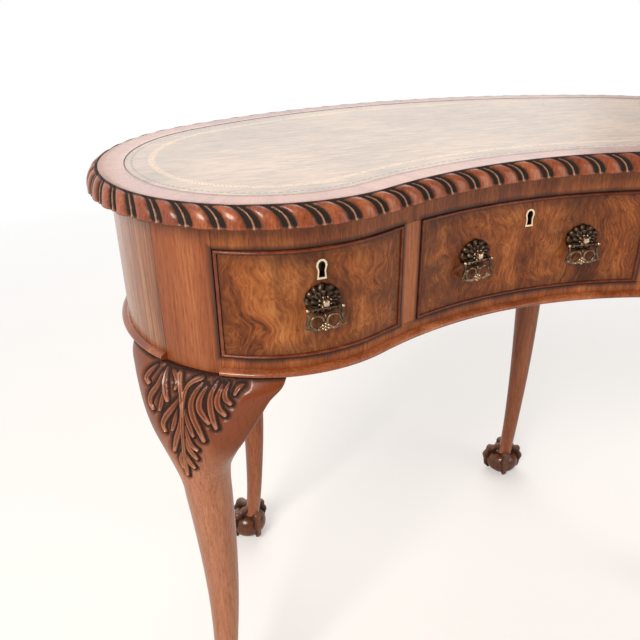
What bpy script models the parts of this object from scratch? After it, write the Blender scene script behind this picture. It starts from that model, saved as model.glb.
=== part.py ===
"""A kidney shaped writing desk: a leather lined top with a gadrooned edge, three bowed drawers
and four cabriole legs with carved knees and claw and ball feet.

Metres, +Z up. The origin lies on the floor under the middle of the desk. +X runs along its width
and the drawers face -Y. The plan is one line of tangent arcs. A station is a distance along the
left half of that line, from the middle of the back (0) to the middle of the front (HALF_LINE)."""

import math

import bmesh
import bpy
from mathutils import Vector

# Gaps and limits
FIT = 0.0003  # between pieces that touch
FACET_SAG = 0.0001  # how far a flat facet may stray from its curve
OVERRUN = 0.002  # how far a cutter reaches past what it cuts

# Plan, at the line where the crossbanding meets the gadroon
BACK_REACH = 0.2271  # from the middle of the desk to that line at the back
BACK_RADIUS = 0.7174
SHOULDER_RADIUS = 0.2123
LOBE_RADIUS = 0.1735
BACK_SWEEP = math.radians(26.77)
SHOULDER_SWEEP = math.radians(85.10)
LOBE_SWEEP = math.radians(93.03)

# Top
DESK_HEIGHT = 0.762
TOP_THICKNESS = 0.0195
BORDER_WIDTH = 0.0269
BORDER_THICKNESS = 0.0016
LEATHER_THICKNESS = 0.0013

# Gadroon, the carved edge moulding
GADROON_REACH = 0.0132
GADROON_HEIGHT = 0.0191
GADROON_PITCH = 0.0303
GADROON_DEPTH = 0.0026
GADROON_START = 0.5946  # along its outer edge, from the middle of the back to the first ridge
GADROON_LEAN_SHARE = 0.6  # how far a lobe runs along while it drops, as a share of the pitch
GADROON_STEPS = 5
GADROON_ROWS = 4

# Frieze
FRIEZE_INSET = 0.009
FRIEZE_HEIGHT = 0.1555
PANEL_THICKNESS = 0.018
RAIL_DEPTH = 0.022
UPPER_RAIL_HEIGHT = 0.0252
LOWER_RAIL_HEIGHT = 0.019
BEAD_HEIGHT = 0.008
BEAD_PROUD = 0.0078

# Posts, at the heads of the legs
FRONT_POST_SETBACK = 0.0333  # from the joint of shoulder and lobe to the near edge of the post
FRONT_POST_WIDTH = 0.0710
FRONT_POST_DEPTH = 0.062
BACK_POST_SETBACK = 0.0632  # from the joint of back and shoulder to the middle of the back post
BACK_POST_WIDTH = 0.070
BACK_POST_DEPTH = 0.045

# Dividers and bearers
DIVIDER_INNER_X = 0.1425
DIVIDER_WIDTH = 0.0225
BEARER_LEDGE = 0.014
OUTER_GUIDE_WIDTH = 0.015

# Knee
FRONT_KNEE_WIDTH = 0.210  # from the tip of one ear to the other
BACK_KNEE_WIDTH = 0.160
KNEE_SETBACK = 0.002  # how far the front knee's ridge lies behind the middle of its post
EAR_PROUD = 0.016
KNEE_SWELL_WIDTH = 0.210  # over which the knee falls from its ridge to the ears
KNEE_RIDGE = 0.0285
KNEE_DEPTH = 0.050

# Leg and foot
FRONT_LEG_RADIUS = 0.027
BACK_LEG_RADIUS = 0.0225
ANKLE_RADIUS = 0.0125
FOOT_REACH = 0.030
FOOT_RADIUS = 0.0385
FOOT_HEIGHT = 0.060
CLAW_SHARE = 0.09
RING_POINTS = 16

# Drawers
DRAWER_GAP = 0.0009
COCKBEAD_WIDTH = 0.0030
COCKBEAD_PROUD = 0.0015
COCKBEAD_DEPTH = 0.008
FRONT_THICKNESS = 0.020
SIDE_THICKNESS = 0.008
BOX_BACK_THICKNESS = 0.008
BOTTOM_THICKNESS = 0.005
BOTTOM_RISE = 0.007
SIDE_TOP_GAP = 0.006
BOX_BACK_GAP = 0.018  # from the drawer's back to the frieze behind it

# Locks and keyhole plates
LOCK_WIDTH = 0.040
LOCK_HEIGHT = 0.027
LOCK_THICKNESS = 0.008
LOCK_WALL = 0.0095
BOLT_WIDTH = 0.010
BOLT_HEIGHT = 0.016
BOLT_TRAVEL = 0.009
KEYHOLE_DROP = 0.0670
PLATE_HEIGHT = 0.020
PLATE_WIDTH = 0.011
PLATE_RIM = 0.0019
PLATE_THICKNESS = 0.0010

# Handles
CENTRE_HANDLE_X = 0.0690
HANDLE_DROP = 0.0970
ROSE_WIDTH = 0.037
ROSE_HEIGHT = 0.030
ROSE_DOME = 0.0055
ROSE_EDGE = 0.0014
BOSS_PROUD = 0.0040
BAIL_WIDTH = 0.041
BAIL_HEIGHT = 0.026
BAIL_THICKNESS = 0.0026
BAIL_ARM = 0.0042
PIVOT_DROP = 0.0060
PIVOT_PROUD = 0.0092
PIVOT_RADIUS = 0.0008
PIVOT_CLEARANCE = 0.0004
LUG_WIDTH = 0.0030
LUG_HEIGHT = 0.0050
WINDOW_RADIUS = 0.0040

# Leg rings below the knee, top to bottom: shares of the knee's height, of the foot's reach, and of how far
# the leg is rounder than its ankle
LEG_SHARES = (
    (0.770, -0.08, 1.00),
    (0.716, -0.16, 0.89),
    (0.600, -0.30, 0.70),
    (0.430, -0.33, 0.39),
    (0.290, -0.13, 0.15),
    (0.190, 0.10, 0.03),
    (0.120, 0.30, 0.00),
)
# Foot rings, top to bottom: shares of the foot's height, its reach and its radius, and of the claws' relief
FOOT_SHARES = (
    (0.95, 0.42, 0.40, 0.2),
    (0.84, 0.62, 0.62, 0.8),
    (0.68, 0.84, 0.86, 1.0),
    (0.48, 0.98, 1.00, 1.0),
    (0.28, 1.00, 0.98, 1.0),
    (0.10, 1.00, 0.84, 0.9),
    (0.00, 1.00, 0.66, 0.6),
)
# Knee rings, top to bottom: shares of the knee's height, of its width, of the ridge, of how proud the ears
# stand, of the depth, and how far the ring is eared and not round
KNEE_SHARES = (
    (1.000, 1.00, 0.24, 0.40, 1.00, 1.0),
    (0.985, 0.96, 0.52, 0.78, 0.95, 1.0),
    (0.963, 0.84, 0.76, 1.00, 0.88, 1.0),
    (0.937, 0.75, 0.90, 1.00, 0.80, 1.0),
    (0.911, 0.67, 0.97, 0.92, 0.74, 0.9),
    (0.886, 0.59, 1.00, 0.84, 0.68, 0.8),
    (0.860, 0.50, 1.00, 0.78, 0.62, 0.6),
    (0.835, 0.41, 0.99, 0.76, 0.58, 0.3),
    (0.808, 0.33, 0.94, 0.76, 0.56, 0.1),
)
# One half of the bail's outline: shares of its half width and of its height, from the pivot line down
BAIL_SHARES = (
    (0.00, -0.34),
    (0.30, -0.27),
    (0.62, -0.20),
    (0.78, -0.12),
    (0.78, 0.09),
    (1.00, 0.09),
    (1.00, -0.30),
    (0.90, -0.52),
    (0.98, -0.74),
    (0.66, -0.76),
    (0.32, -0.84),
    (0.00, -0.91),
)
WINDOW_SHARES = (0.42, -0.50)
# Right half of the keyhole plate's outline, top to bottom: shares of its half width and half height
PLATE_SHARES = (
    (0.00, 1.00),
    (0.52, 0.92),
    (0.90, 0.66),
    (1.00, 0.34),
    (0.82, 0.02),
    (0.72, -0.20),
    (0.86, -1.00),
)

# What the named sizes lead to
BOARD_BOTTOM = DESK_HEIGHT - TOP_THICKNESS
BOARD_TOP = DESK_HEIGHT - BORDER_THICKNESS - FIT
FRIEZE_TOP = BOARD_BOTTOM - FIT
FRIEZE_BOTTOM = FRIEZE_TOP - FRIEZE_HEIGHT
OPENING_TOP = FRIEZE_TOP - UPPER_RAIL_HEIGHT
OPENING_BOTTOM = FRIEZE_BOTTOM + LOWER_RAIL_HEIGHT
KNEE_TOP = FRIEZE_BOTTOM - FIT
DIVIDER_OUTER_X = DIVIDER_INNER_X + DIVIDER_WIDTH
FRONT_EDGE = DRAWER_GAP + COCKBEAD_WIDTH + FIT  # from the opening to the wood of the drawer front
LOCK_TOP = OPENING_TOP - FRONT_EDGE


def normal_at(heading):
    """Outward normal of the plan line where it heads this way."""
    return Vector((math.sin(heading), -math.cos(heading)))


def plan_arcs():
    """The left half of the plan line: each arc's station, heading and centre, and its radius, which is
    negative where the line turns outward, and then the station of the middle of the front."""
    arcs = []
    station = 0.0
    heading = math.pi
    start = Vector((0.0, BACK_REACH))
    turns = (
        (BACK_RADIUS, BACK_SWEEP),
        (SHOULDER_RADIUS, SHOULDER_SWEEP),
        (LOBE_RADIUS, LOBE_SWEEP),
    )
    for radius, sweep in turns:
        centre = start - radius * normal_at(heading)
        arcs.append((station, heading, centre, radius))
        station += radius * sweep
        heading += sweep
        start = centre + radius * normal_at(heading)
    left_over = heading - 2 * math.pi
    radius = start.x / math.sin(left_over)
    arcs.append((station, heading, start - radius * normal_at(heading), radius))
    return arcs, station - radius * left_over


ARCS, HALF_LINE = plan_arcs()
WIDEST = ARCS[1][0] + ARCS[1][3] * (1.5 * math.pi - ARCS[1][1])
FRONT_POST_START = ARCS[2][0] + FRONT_POST_SETBACK
FRONT_POST_END = FRONT_POST_START + FRONT_POST_WIDTH
BACK_POST_CENTRE = ARCS[1][0] - BACK_POST_SETBACK


def arc_at(station):
    """The arc that holds this station of the left half."""
    return [arc for arc in ARCS if arc[0] <= station or arc is ARCS[0]][-1]


def fold(station):
    """The station of the left half that mirrors this one, and the side that it is on."""
    side = 1
    if station < 0:
        station = -station
        side = -1
    if station > HALF_LINE:
        station = 2 * HALF_LINE - station
        side = -side
    return station, side


def rim_frame(station):
    """A point of the plan line with its outward normal, anywhere round the desk."""
    station, side = fold(station)
    start, heading, centre, radius = arc_at(station)
    normal = normal_at(heading + (station - start) / radius)
    point = centre + radius * normal
    return Vector((side * point.x, point.y)), Vector((side * normal.x, normal.y))


def rim(station, offset):
    """The point of the plan that lies this far outside the line at a station."""
    point, normal = rim_frame(station)
    return point + offset * normal


def facets(first, last):
    """Stations from first to last, close enough that no facet strays from the curve."""
    bounds = {first, last}
    for start in [arc[0] for arc in ARCS] + [HALF_LINE]:
        for station in (-start, start, 2 * HALF_LINE - start):
            if first < station < last:
                bounds.add(station)
    bounds = sorted(bounds)
    stations = [first]
    for low, high in zip(bounds, bounds[1:]):
        radius = abs(arc_at(fold((low + high) / 2)[0])[3])
        count = math.ceil((high - low) / math.sqrt(8 * radius * FACET_SAG))
        stations += [low + (high - low) * k / count for k in range(1, count + 1)]
    return stations


def crossing(x, offset, low, high):
    """The station between two others where the offset line reaches x, found by halving."""
    for _ in range(40):
        middle = (low + high) / 2
        if (rim(middle, offset).x < x) == (rim(low, offset).x < x):
            low = middle
        else:
            high = middle
    return (low + high) / 2


def post_side():
    """How far the front post's face beside the drawer lies from the middle of the desk."""
    return -rim(FRONT_POST_END, -FRIEZE_INSET).x


POST_SIDE_X = post_side()
SIDE_DRAWER_X = (POST_SIDE_X + DIVIDER_OUTER_X) / 2  # the middle of a side drawer


def front_station(x, offset):
    """Station on the drawer side of the desk where the offset line reaches x."""
    station = crossing(-abs(x), offset, WIDEST, HALF_LINE)
    return station if x <= 0 else 2 * HALF_LINE - station


def front_y(x, offset):
    return rim(front_station(x, offset), offset).y


def back_y(x, offset):
    return rim(crossing(-abs(x), offset, 0.0, WIDEST), offset).y


def panel_y(x):
    """The inner face of the frieze at the back of the desk."""
    return back_y(x, -FRIEZE_INSET - PANEL_THICKNESS)


def front_line(first_x, last_x):
    """Points of the frieze face on the drawer side, between two places along the width."""
    first = front_station(first_x, -FRIEZE_INSET)
    last = front_station(last_x, -FRIEZE_INSET)
    return [rim(station, -FRIEZE_INSET) for station in facets(first, last)]


def material(name, colour, roughness, metallic=0.0):
    made = bpy.data.materials.new(name)
    made.use_nodes = True
    made.diffuse_color = (*colour, 1.0)
    shader = made.node_tree.nodes["Principled BSDF"]
    shader.inputs["Base Color"].default_value = (*colour, 1.0)
    shader.inputs["Roughness"].default_value = roughness
    shader.inputs["Metallic"].default_value = metallic
    return made


def empty(name, place):
    """The parent of one moving body, at its natural reference point."""
    made = bpy.data.objects.new(name, None)
    made.location = place
    bpy.context.scene.collection.objects.link(made)
    return made


def solid(name, points, faces, finish, parent=None, origin=None):
    """One named piece from its points and faces, with its own origin, under its body's parent."""
    base = parent.location.copy() if parent else Vector((0.0, 0.0, 0.0))
    origin = Vector(origin) if origin else base
    mesh = bpy.data.meshes.new(name)
    mesh.from_pydata([Vector(point) - origin for point in points], [], faces)
    tidy = bmesh.new()
    tidy.from_mesh(mesh)
    bmesh.ops.recalc_face_normals(tidy, faces=tidy.faces)
    tidy.to_mesh(mesh)
    tidy.free()
    mesh.materials.append(finish)
    mesh.shade_smooth()
    mesh.set_sharp_from_angle(angle=math.radians(35))
    made = bpy.data.objects.new(name, mesh)
    made.parent = parent
    made.location = origin - base
    bpy.context.scene.collection.objects.link(made)
    return made


def loft(rings, closed=False):
    """A skin through rings of equal size, capped at both ends or closed on itself."""
    count = len(rings[0])
    points = [point for ring in rings for point in ring]
    faces = []
    for row in range(len(rings) if closed else len(rings) - 1):
        after = (row + 1) % len(rings)
        for k in range(count):
            right = (k + 1) % count
            faces.append(
                (row * count + k, row * count + right, after * count + right, after * count + k)
            )
    if not closed:
        faces.append(tuple(range(count)))
        faces.append(tuple(range(len(points) - count, len(points))))
    return points, faces


def prism(outline, low, high):
    """An upright prism over a plan outline."""
    return loft([[(x, y, level) for x, y in outline] for level in (low, high)])


def box(low, high):
    outline = ((low[0], low[1]), (high[0], low[1]), (high[0], high[1]), (low[0], high[1]))
    return prism(outline, low[2], high[2])


def helper(name, shape):
    """A cutter or a lump that a Boolean joins on. It isn't a piece of its own."""
    made = solid(name, *shape, FINISHES["walnut"])
    made.hide_render = True
    made.display_type = "WIRE"
    return made


def join(piece, other, operation):
    modifier = piece.modifiers.new(other.name, "BOOLEAN")
    modifier.operation = operation
    modifier.object = other


def make_finishes():
    return {
        "walnut": material("walnut", (0.29, 0.115, 0.05), 0.32),
        "burr": material("burr_walnut", (0.21, 0.08, 0.035), 0.28),
        "band": material("crossband_walnut", (0.26, 0.075, 0.04), 0.25),
        "carved": material("carved_walnut", (0.22, 0.07, 0.03), 0.3),
        "leather": material("tooled_leather", (0.16, 0.13, 0.09), 0.45),
        "lining": material("drawer_lining", (0.42, 0.27, 0.14), 0.6),
        "brass": material("aged_brass", (0.09, 0.055, 0.03), 0.4, 1.0),
        "plate": material("pale_brass", (0.72, 0.62, 0.42), 0.35, 1.0),
        "steel": material("lock_steel", (0.35, 0.34, 0.32), 0.4, 1.0),
    }


# Top


def make_board():
    outline = [rim(station, 0.0) for station in facets(-HALF_LINE, HALF_LINE)[1:]]
    solid("top_board", *prism(outline, BOARD_BOTTOM, BOARD_TOP), FINISHES["walnut"])


def make_border():
    """The crossbanded border, a closed band of veneer round the leather."""
    rings = []
    for station in facets(-HALF_LINE, HALF_LINE)[1:]:
        outer = rim(station, 0.0)
        inner = rim(station, -BORDER_WIDTH)
        low = DESK_HEIGHT - BORDER_THICKNESS
        rings.append(
            [(*outer, low), (*outer, DESK_HEIGHT), (*inner, DESK_HEIGHT), (*inner, low)]
        )
    solid("crossband_border", *loft(rings, closed=True), FINISHES["band"])


def make_leather():
    edge = -BORDER_WIDTH - FIT
    outline = [rim(station, edge) for station in facets(-HALF_LINE, HALF_LINE)[1:]]
    low = BOARD_TOP + FIT
    shape = prism(outline, low, low + LEATHER_THICKNESS)
    solid("leather_inset", *shape, FINISHES["leather"])


def gadroon_stations():
    """Stations every fifth of a lobe along the outer edge, right round the desk, and how far along that
    edge each one lies from the first ridge. The lobes lean the same way all round."""
    count = 2000
    stations = [2 * HALF_LINE * k / count for k in range(count + 1)]
    places = [rim(station, GADROON_REACH) for station in stations]
    lengths = [0.0]
    for place, following in zip(places, places[1:]):
        lengths.append(lengths[-1] + (following - place).length)
    lobes = round(lengths[-1] / GADROON_PITCH)
    pitch = lengths[-1] / lobes
    found = []
    row = 0
    for k in range(lobes * GADROON_STEPS + 1):
        wanted = pitch * k / GADROON_STEPS
        while row < count - 1 and lengths[row + 1] < wanted:
            row += 1
        share = (wanted - lengths[row]) / (lengths[row + 1] - lengths[row])
        station = stations[row] + share * (stations[row + 1] - stations[row])
        found.append((station, (wanted - GADROON_START) / pitch))
    return found


def lobe_relief(phase):
    """How far the carving stands back: nothing on the crown of a lobe, all of it in the valley."""
    return abs(math.cos(math.pi * phase)) ** 3


def gadroon_ring(station, phase):
    """The moulding's section at a station: a quarter ellipse with the lobes' relief, and its back corner."""
    ring = []
    for row in range(GADROON_ROWS):
        drop = row / (GADROON_ROWS - 1)
        angle = drop * math.pi / 2
        lean = GADROON_LEAN_SHARE * (1 - math.sin(angle))
        relief = lobe_relief(phase + lean) * math.sin(math.pi * (0.15 + 0.7 * drop))
        reach = FIT + (GADROON_REACH - FIT) * math.sin(angle)
        depth = GADROON_HEIGHT * (1 - math.cos(angle))
        place = rim(station, reach - GADROON_DEPTH * relief * math.sin(angle))
        ring.append((*place, DESK_HEIGHT - depth - GADROON_DEPTH * relief * math.cos(angle)))
    ring.append((*rim(station, FIT), DESK_HEIGHT - GADROON_HEIGHT))
    return ring


def make_gadroons():
    """Three lengths of moulding that meet at the back and at the joints of lobe and hollow front."""
    left_end = ARCS[3][0]
    right_end = 2 * HALF_LINE - left_end
    stretches = {
        "gadroon_left": (0.0, left_end),
        "gadroon_front": (left_end, right_end),
        "gadroon_right": (right_end, 2 * HALF_LINE),
    }
    stations = gadroon_stations()
    for name, (first, last) in stretches.items():
        near = [min(stations, key=lambda item: abs(item[0] - end)) for end in (first, last)]
        inside = [item for item in stations if near[0][0] < item[0] < near[1][0]]
        low = (near[0][0] + FIT, near[0][1])
        high = (near[1][0] - FIT, near[1][1])
        rings = [gadroon_ring(*item) for item in [low, *inside, high]]
        solid(name, *loft(rings), FINISHES["carved"])


# Frieze


def curved_panel(name, first, last, finish):
    """A panel of the frieze between two stations."""
    rings = []
    for station in facets(first + FIT, last - FIT):
        outer = rim(station, -FRIEZE_INSET)
        inner = rim(station, -FRIEZE_INSET - PANEL_THICKNESS)
        rings.append(
            [
                (*outer, FRIEZE_BOTTOM),
                (*outer, FRIEZE_TOP),
                (*inner, FRIEZE_TOP),
                (*inner, FRIEZE_BOTTOM),
            ]
        )
    return solid(name, *loft(rings), finish)


def front_board(first_x, last_x, low, high, depth):
    """A board whose face follows the frieze on the drawer side, with ends cut square to the desk."""
    rings = []
    for x, y in front_line(first_x, last_x):
        rings.append([(x, y, low), (x, y, high), (x, y + depth, high), (x, y + depth, low)])
    return loft(rings)


def bead(name, first, last):
    """The half round bead along the foot of the frieze between two stations."""
    rings = []
    middle = FRIEZE_BOTTOM + BEAD_HEIGHT / 2
    for station in facets(first + FIT, last - FIT):
        ring = []
        for step in range(-2, 3):
            angle = step * math.pi / 4
            reach = FIT + BEAD_PROUD * math.cos(angle)
            place = rim(station, -FRIEZE_INSET + reach)
            ring.append((*place, middle + BEAD_HEIGHT / 2 * math.sin(angle)))
        rings.append(ring)
    return solid(name, *loft(rings), FINISHES["walnut"])


def bolt_centre_y(x):
    """The middle of the lock's thickness, behind the drawer front's wall."""
    return front_y(x, -FRIEZE_INSET) + LOCK_WALL + LOCK_THICKNESS / 2


def make_rails():
    ends = POST_SIDE_X - FIT
    shape = front_board(-ends, ends, OPENING_TOP, FRIEZE_TOP, RAIL_DEPTH)
    upper = solid("upper_rail", *shape, FINISHES["walnut"])
    for name, x in (("left", -SIDE_DRAWER_X), ("centre", 0.0), ("right", SIDE_DRAWER_X)):
        half = BOLT_WIDTH / 2 + FIT + PIVOT_CLEARANCE
        deep = LOCK_THICKNESS / 2 + FIT + PIVOT_CLEARANCE
        y = bolt_centre_y(x)
        rise = LOCK_TOP + BOLT_TRAVEL + OVERRUN
        low = (x - half, y - deep, OPENING_TOP - OVERRUN)
        cutter = helper("bolt_mortise_" + name, box(low, (x + half, y + deep, rise)))
        join(upper, cutter, "DIFFERENCE")
    shape = front_board(-ends, ends, FRIEZE_BOTTOM, OPENING_BOTTOM, RAIL_DEPTH)
    solid("lower_rail", *shape, FINISHES["walnut"])


def make_dividers():
    for side, name in ((-1, "divider_left"), (1, "divider_right")):
        ends = sorted((side * DIVIDER_INNER_X, side * DIVIDER_OUTER_X))
        shape = front_board(*ends, OPENING_BOTTOM + FIT, OPENING_TOP - FIT, RAIL_DEPTH)
        solid(name, *shape, FINISHES["walnut"])


def make_panels():
    back_near = BACK_POST_CENTRE - BACK_POST_WIDTH / 2
    back_far = BACK_POST_CENTRE + BACK_POST_WIDTH / 2
    curved_panel("back_panel", -back_near, back_near, FINISHES["walnut"])
    curved_panel("end_panel_left", back_far, FRONT_POST_START, FINISHES["walnut"])
    curved_panel("end_panel_right", -FRONT_POST_START, -back_far, FINISHES["walnut"])
    bead("bead_back", -back_near, back_near)
    bead("bead_left", back_far, FRONT_POST_START)
    bead("bead_right", -FRONT_POST_START, -back_far)
    bead("bead_front", FRONT_POST_END, 2 * HALF_LINE - FRONT_POST_END)


# Bearers


def bearer(name, profile, front, back, side):
    """A timber of one profile, given as points across the desk and up, from front to back."""
    rings = [[(side * x, y, z) for x, z in profile] for y in (front, back)]
    return solid(name, *loft(rings), FINISHES["lining"])


def make_bearers():
    low = FRIEZE_BOTTOM
    run = OPENING_BOTTOM
    kick = OPENING_TOP
    high = FRIEZE_TOP
    guide = POST_SIDE_X + OUTER_GUIDE_WIDTH
    ledge = POST_SIDE_X - BEARER_LEDGE
    outer = (
        (guide, low),
        (ledge, low),
        (ledge, run),
        (POST_SIDE_X, run),
        (POST_SIDE_X, kick),
        (ledge, kick),
        (ledge, high),
        (guide, high),
    )
    near = DIVIDER_INNER_X - BEARER_LEDGE
    far = DIVIDER_OUTER_X + BEARER_LEDGE
    inner = (
        (far, low),
        (near, low),
        (near, run),
        (DIVIDER_INNER_X, run),
        (DIVIDER_INNER_X, kick),
        (near, kick),
        (near, high),
        (far, high),
        (far, kick),
        (DIVIDER_OUTER_X, kick),
        (DIVIDER_OUTER_X, run),
        (far, run),
    )
    outer_front = front_y(POST_SIDE_X, -FRIEZE_INSET) + FRONT_POST_DEPTH + FIT
    inner_front = max(y for _, y in front_line(-far, -near)) + RAIL_DEPTH + FIT
    outer_back = panel_y(guide) - FIT
    inner_back = panel_y(far) - FIT
    for side, name in ((-1, "left"), (1, "right")):
        bearer("bearer_outer_" + name, outer, outer_front, outer_back, side)
        bearer("bearer_inner_" + name, inner, inner_front, inner_back, side)


# Legs


def spread(first, last, count):
    """Places on a straight run from first to last, both included."""
    return [first.lerp(last, k / (count - 1)) for k in range(count)]


def front_post_ring():
    """The front post in plan: its curved face, the side along the drawer, its back and the panel's side."""
    first = FRONT_POST_START + FIT
    last = FRONT_POST_END
    count = RING_POINTS // 2 - 1
    face = [rim(first + (last - first) * k / (count - 1), -FRIEZE_INSET) for k in range(count)]
    back = face[-1].y + FRONT_POST_DEPTH
    inward = -rim_frame(first)[1]
    inner = face[0] + inward * (back - face[0].y) / inward.y
    corner = Vector((face[-1].x, back))
    middle = face[-1].lerp(corner, 0.5)
    return [face[0].lerp(inner, 0.5), *face, middle, *spread(corner, inner, count)]


def back_post_ring():
    """The back post in plan, between the end panel and the back panel."""
    first = BACK_POST_CENTRE - BACK_POST_WIDTH / 2 + FIT
    last = BACK_POST_CENTRE + BACK_POST_WIDTH / 2 - FIT
    count = RING_POINTS // 2 - 1
    face = [rim(first + (last - first) * k / (count - 1), -FRIEZE_INSET) for k in range(count)]
    near = face[0] - BACK_POST_DEPTH * rim_frame(first)[1]
    far = face[-1] - BACK_POST_DEPTH * rim_frame(last)[1]
    return [face[0].lerp(near, 0.5), *face, face[-1].lerp(far, 0.5), *spread(far, near, count)]


def leg_point(centre, along, out, bend):
    """A place on the leg: along the frieze and outward from it, following its curve as far as bend says."""
    point, normal = rim_frame(centre)
    along_line = Vector((-normal.y, normal.x))
    straight = point + along_line * along + normal * (out - FRIEZE_INSET)
    curved = rim(centre + along, out - FRIEZE_INSET)
    return straight.lerp(curved, bend)


def knee_ring(centre, knee_width, share):
    """One ring of the knee, where the round of the leg spreads into two ears under the frieze."""
    height, width, ridge, proud, depth, ears = share
    ring = []
    front = KNEE_RIDGE * ridge
    ear = EAR_PROUD * proud
    back = -KNEE_DEPTH * depth
    for k in range(RING_POINTS):
        angle = 2 * math.pi * k / RING_POINTS
        along = -knee_width / 2 * width * math.cos(angle)
        lift = math.sin(angle)
        plain = (front + back) / 2 + (front - back) / 2 * lift
        if lift >= 0:
            swell = math.cos(math.pi * min(0.5, abs(along) / KNEE_SWELL_WIDTH))
            eared = ear * lift**0.3 + (front - ear) * swell
        else:
            eared = back * abs(lift) ** 0.5
        out = plain + (eared - plain) * ears
        ring.append((*leg_point(centre, along, out, ears), KNEE_TOP * height))
    return ring


def round_ring(centre, height, out, radius, claws=0.0):
    """One ring of the leg or the foot, with four claws standing from it where they are wanted."""
    ring = []
    for k in range(RING_POINTS):
        angle = 2 * math.pi * k / RING_POINTS
        reach = radius * (1 + CLAW_SHARE * claws * math.cos(4 * angle))
        place = leg_point(centre, -reach * math.cos(angle), out + reach * math.sin(angle), 0.0)
        ring.append((*place, height))
    return ring


def leg(name, post, centre, side, knee_centre, knee_width, thickest):
    """A cabriole leg from the top of its post to the floor, all one timber."""
    rings = [[(*place, height) for place in post] for height in (FRIEZE_TOP, KNEE_TOP + FIT)]
    rings += [knee_ring(knee_centre, knee_width, share) for share in KNEE_SHARES]
    for height, reach, swell in LEG_SHARES:
        radius = ANKLE_RADIUS + (thickest - ANKLE_RADIUS) * swell
        rings.append(round_ring(centre, KNEE_TOP * height, FOOT_REACH * reach, radius))
    for height, reach, radius, claws in FOOT_SHARES:
        rings.append(
            round_ring(
                centre, FOOT_HEIGHT * height, FOOT_REACH * reach, FOOT_RADIUS * radius, claws
            )
        )
    rings = [[(side * x, y, z) for x, y, z in ring] for ring in rings]
    return solid(name, *loft(rings), FINISHES["walnut"])


def make_legs():
    front_centre = (FRONT_POST_START + FRONT_POST_END) / 2
    front = (front_centre - KNEE_SETBACK, FRONT_KNEE_WIDTH, FRONT_LEG_RADIUS)
    back = (BACK_POST_CENTRE, BACK_KNEE_WIDTH, BACK_LEG_RADIUS)
    for side, name in ((1, "left"), (-1, "right")):
        leg("leg_front_" + name, front_post_ring(), front_centre, side, *front)
        leg("leg_back_" + name, back_post_ring(), BACK_POST_CENTRE, side, *back)


# Drawers


def make_drawer_front(name, ends, lock_x, parent):
    """The burr faced front, with a pocket for the lock at its back and a keyhole through it."""
    low = OPENING_BOTTOM + FRONT_EDGE
    shape = front_board(
        ends[0] + FRONT_EDGE, ends[1] - FRONT_EDGE, low, LOCK_TOP, FRONT_THICKNESS
    )
    front = solid(name + "_front", *shape, FINISHES["burr"], parent)
    half = LOCK_WIDTH / 2 + FIT
    face = front_y(lock_x, -FRIEZE_INSET)
    pocket = box(
        (lock_x - half, face + LOCK_WALL - FIT, LOCK_TOP - LOCK_HEIGHT - FIT),
        (lock_x + half, face + FRONT_THICKNESS + RAIL_DEPTH, LOCK_TOP + OVERRUN),
    )
    join(front, helper(name + "_lock_pocket", pocket), "DIFFERENCE")
    outline = plate_outline(lock_x, PLATE_RIM)
    keyhole = loft(
        [[(x, y, z) for x, z in outline] for y in (face - OVERRUN, face + LOCK_WALL + OVERRUN)]
    )
    join(front, helper(name + "_keyhole", keyhole), "DIFFERENCE")


def cockbead_ring(x_out, x_in, z_out, z_in):
    """The section of the cockbead at one place round the drawer front."""
    outer = front_y(x_out, -FRIEZE_INSET)
    inner = front_y(x_in, -FRIEZE_INSET)
    return [
        (x_out, outer - COCKBEAD_PROUD, z_out),
        (x_out, outer + COCKBEAD_DEPTH, z_out),
        (x_in, inner + COCKBEAD_DEPTH, z_in),
        (x_in, inner - COCKBEAD_PROUD, z_in),
    ]


def make_cockbead(name, ends, parent):
    """The thin bead that frames the drawer front and stands a little proud of it."""
    outer = (ends[0] + DRAWER_GAP, ends[1] - DRAWER_GAP)
    inner = (outer[0] + COCKBEAD_WIDTH, outer[1] - COCKBEAD_WIDTH)
    places = [x for x, _ in front_line(*outer)]
    shares = [(x - outer[0]) / (outer[1] - outer[0]) for x in places]
    low = OPENING_BOTTOM + DRAWER_GAP
    high = OPENING_TOP - DRAWER_GAP
    rings = []
    for share in shares:
        x_in = inner[0] + (inner[1] - inner[0]) * share
        x_out = outer[0] + (outer[1] - outer[0]) * share
        rings.append(cockbead_ring(x_out, x_in, high, high - COCKBEAD_WIDTH))
    for share in reversed(shares):
        x_in = inner[0] + (inner[1] - inner[0]) * share
        x_out = outer[0] + (outer[1] - outer[0]) * share
        rings.append(cockbead_ring(x_out, x_in, low, low + COCKBEAD_WIDTH))
    solid(name + "_cockbead", *loft(rings, closed=True), FINISHES["band"], parent)


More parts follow.
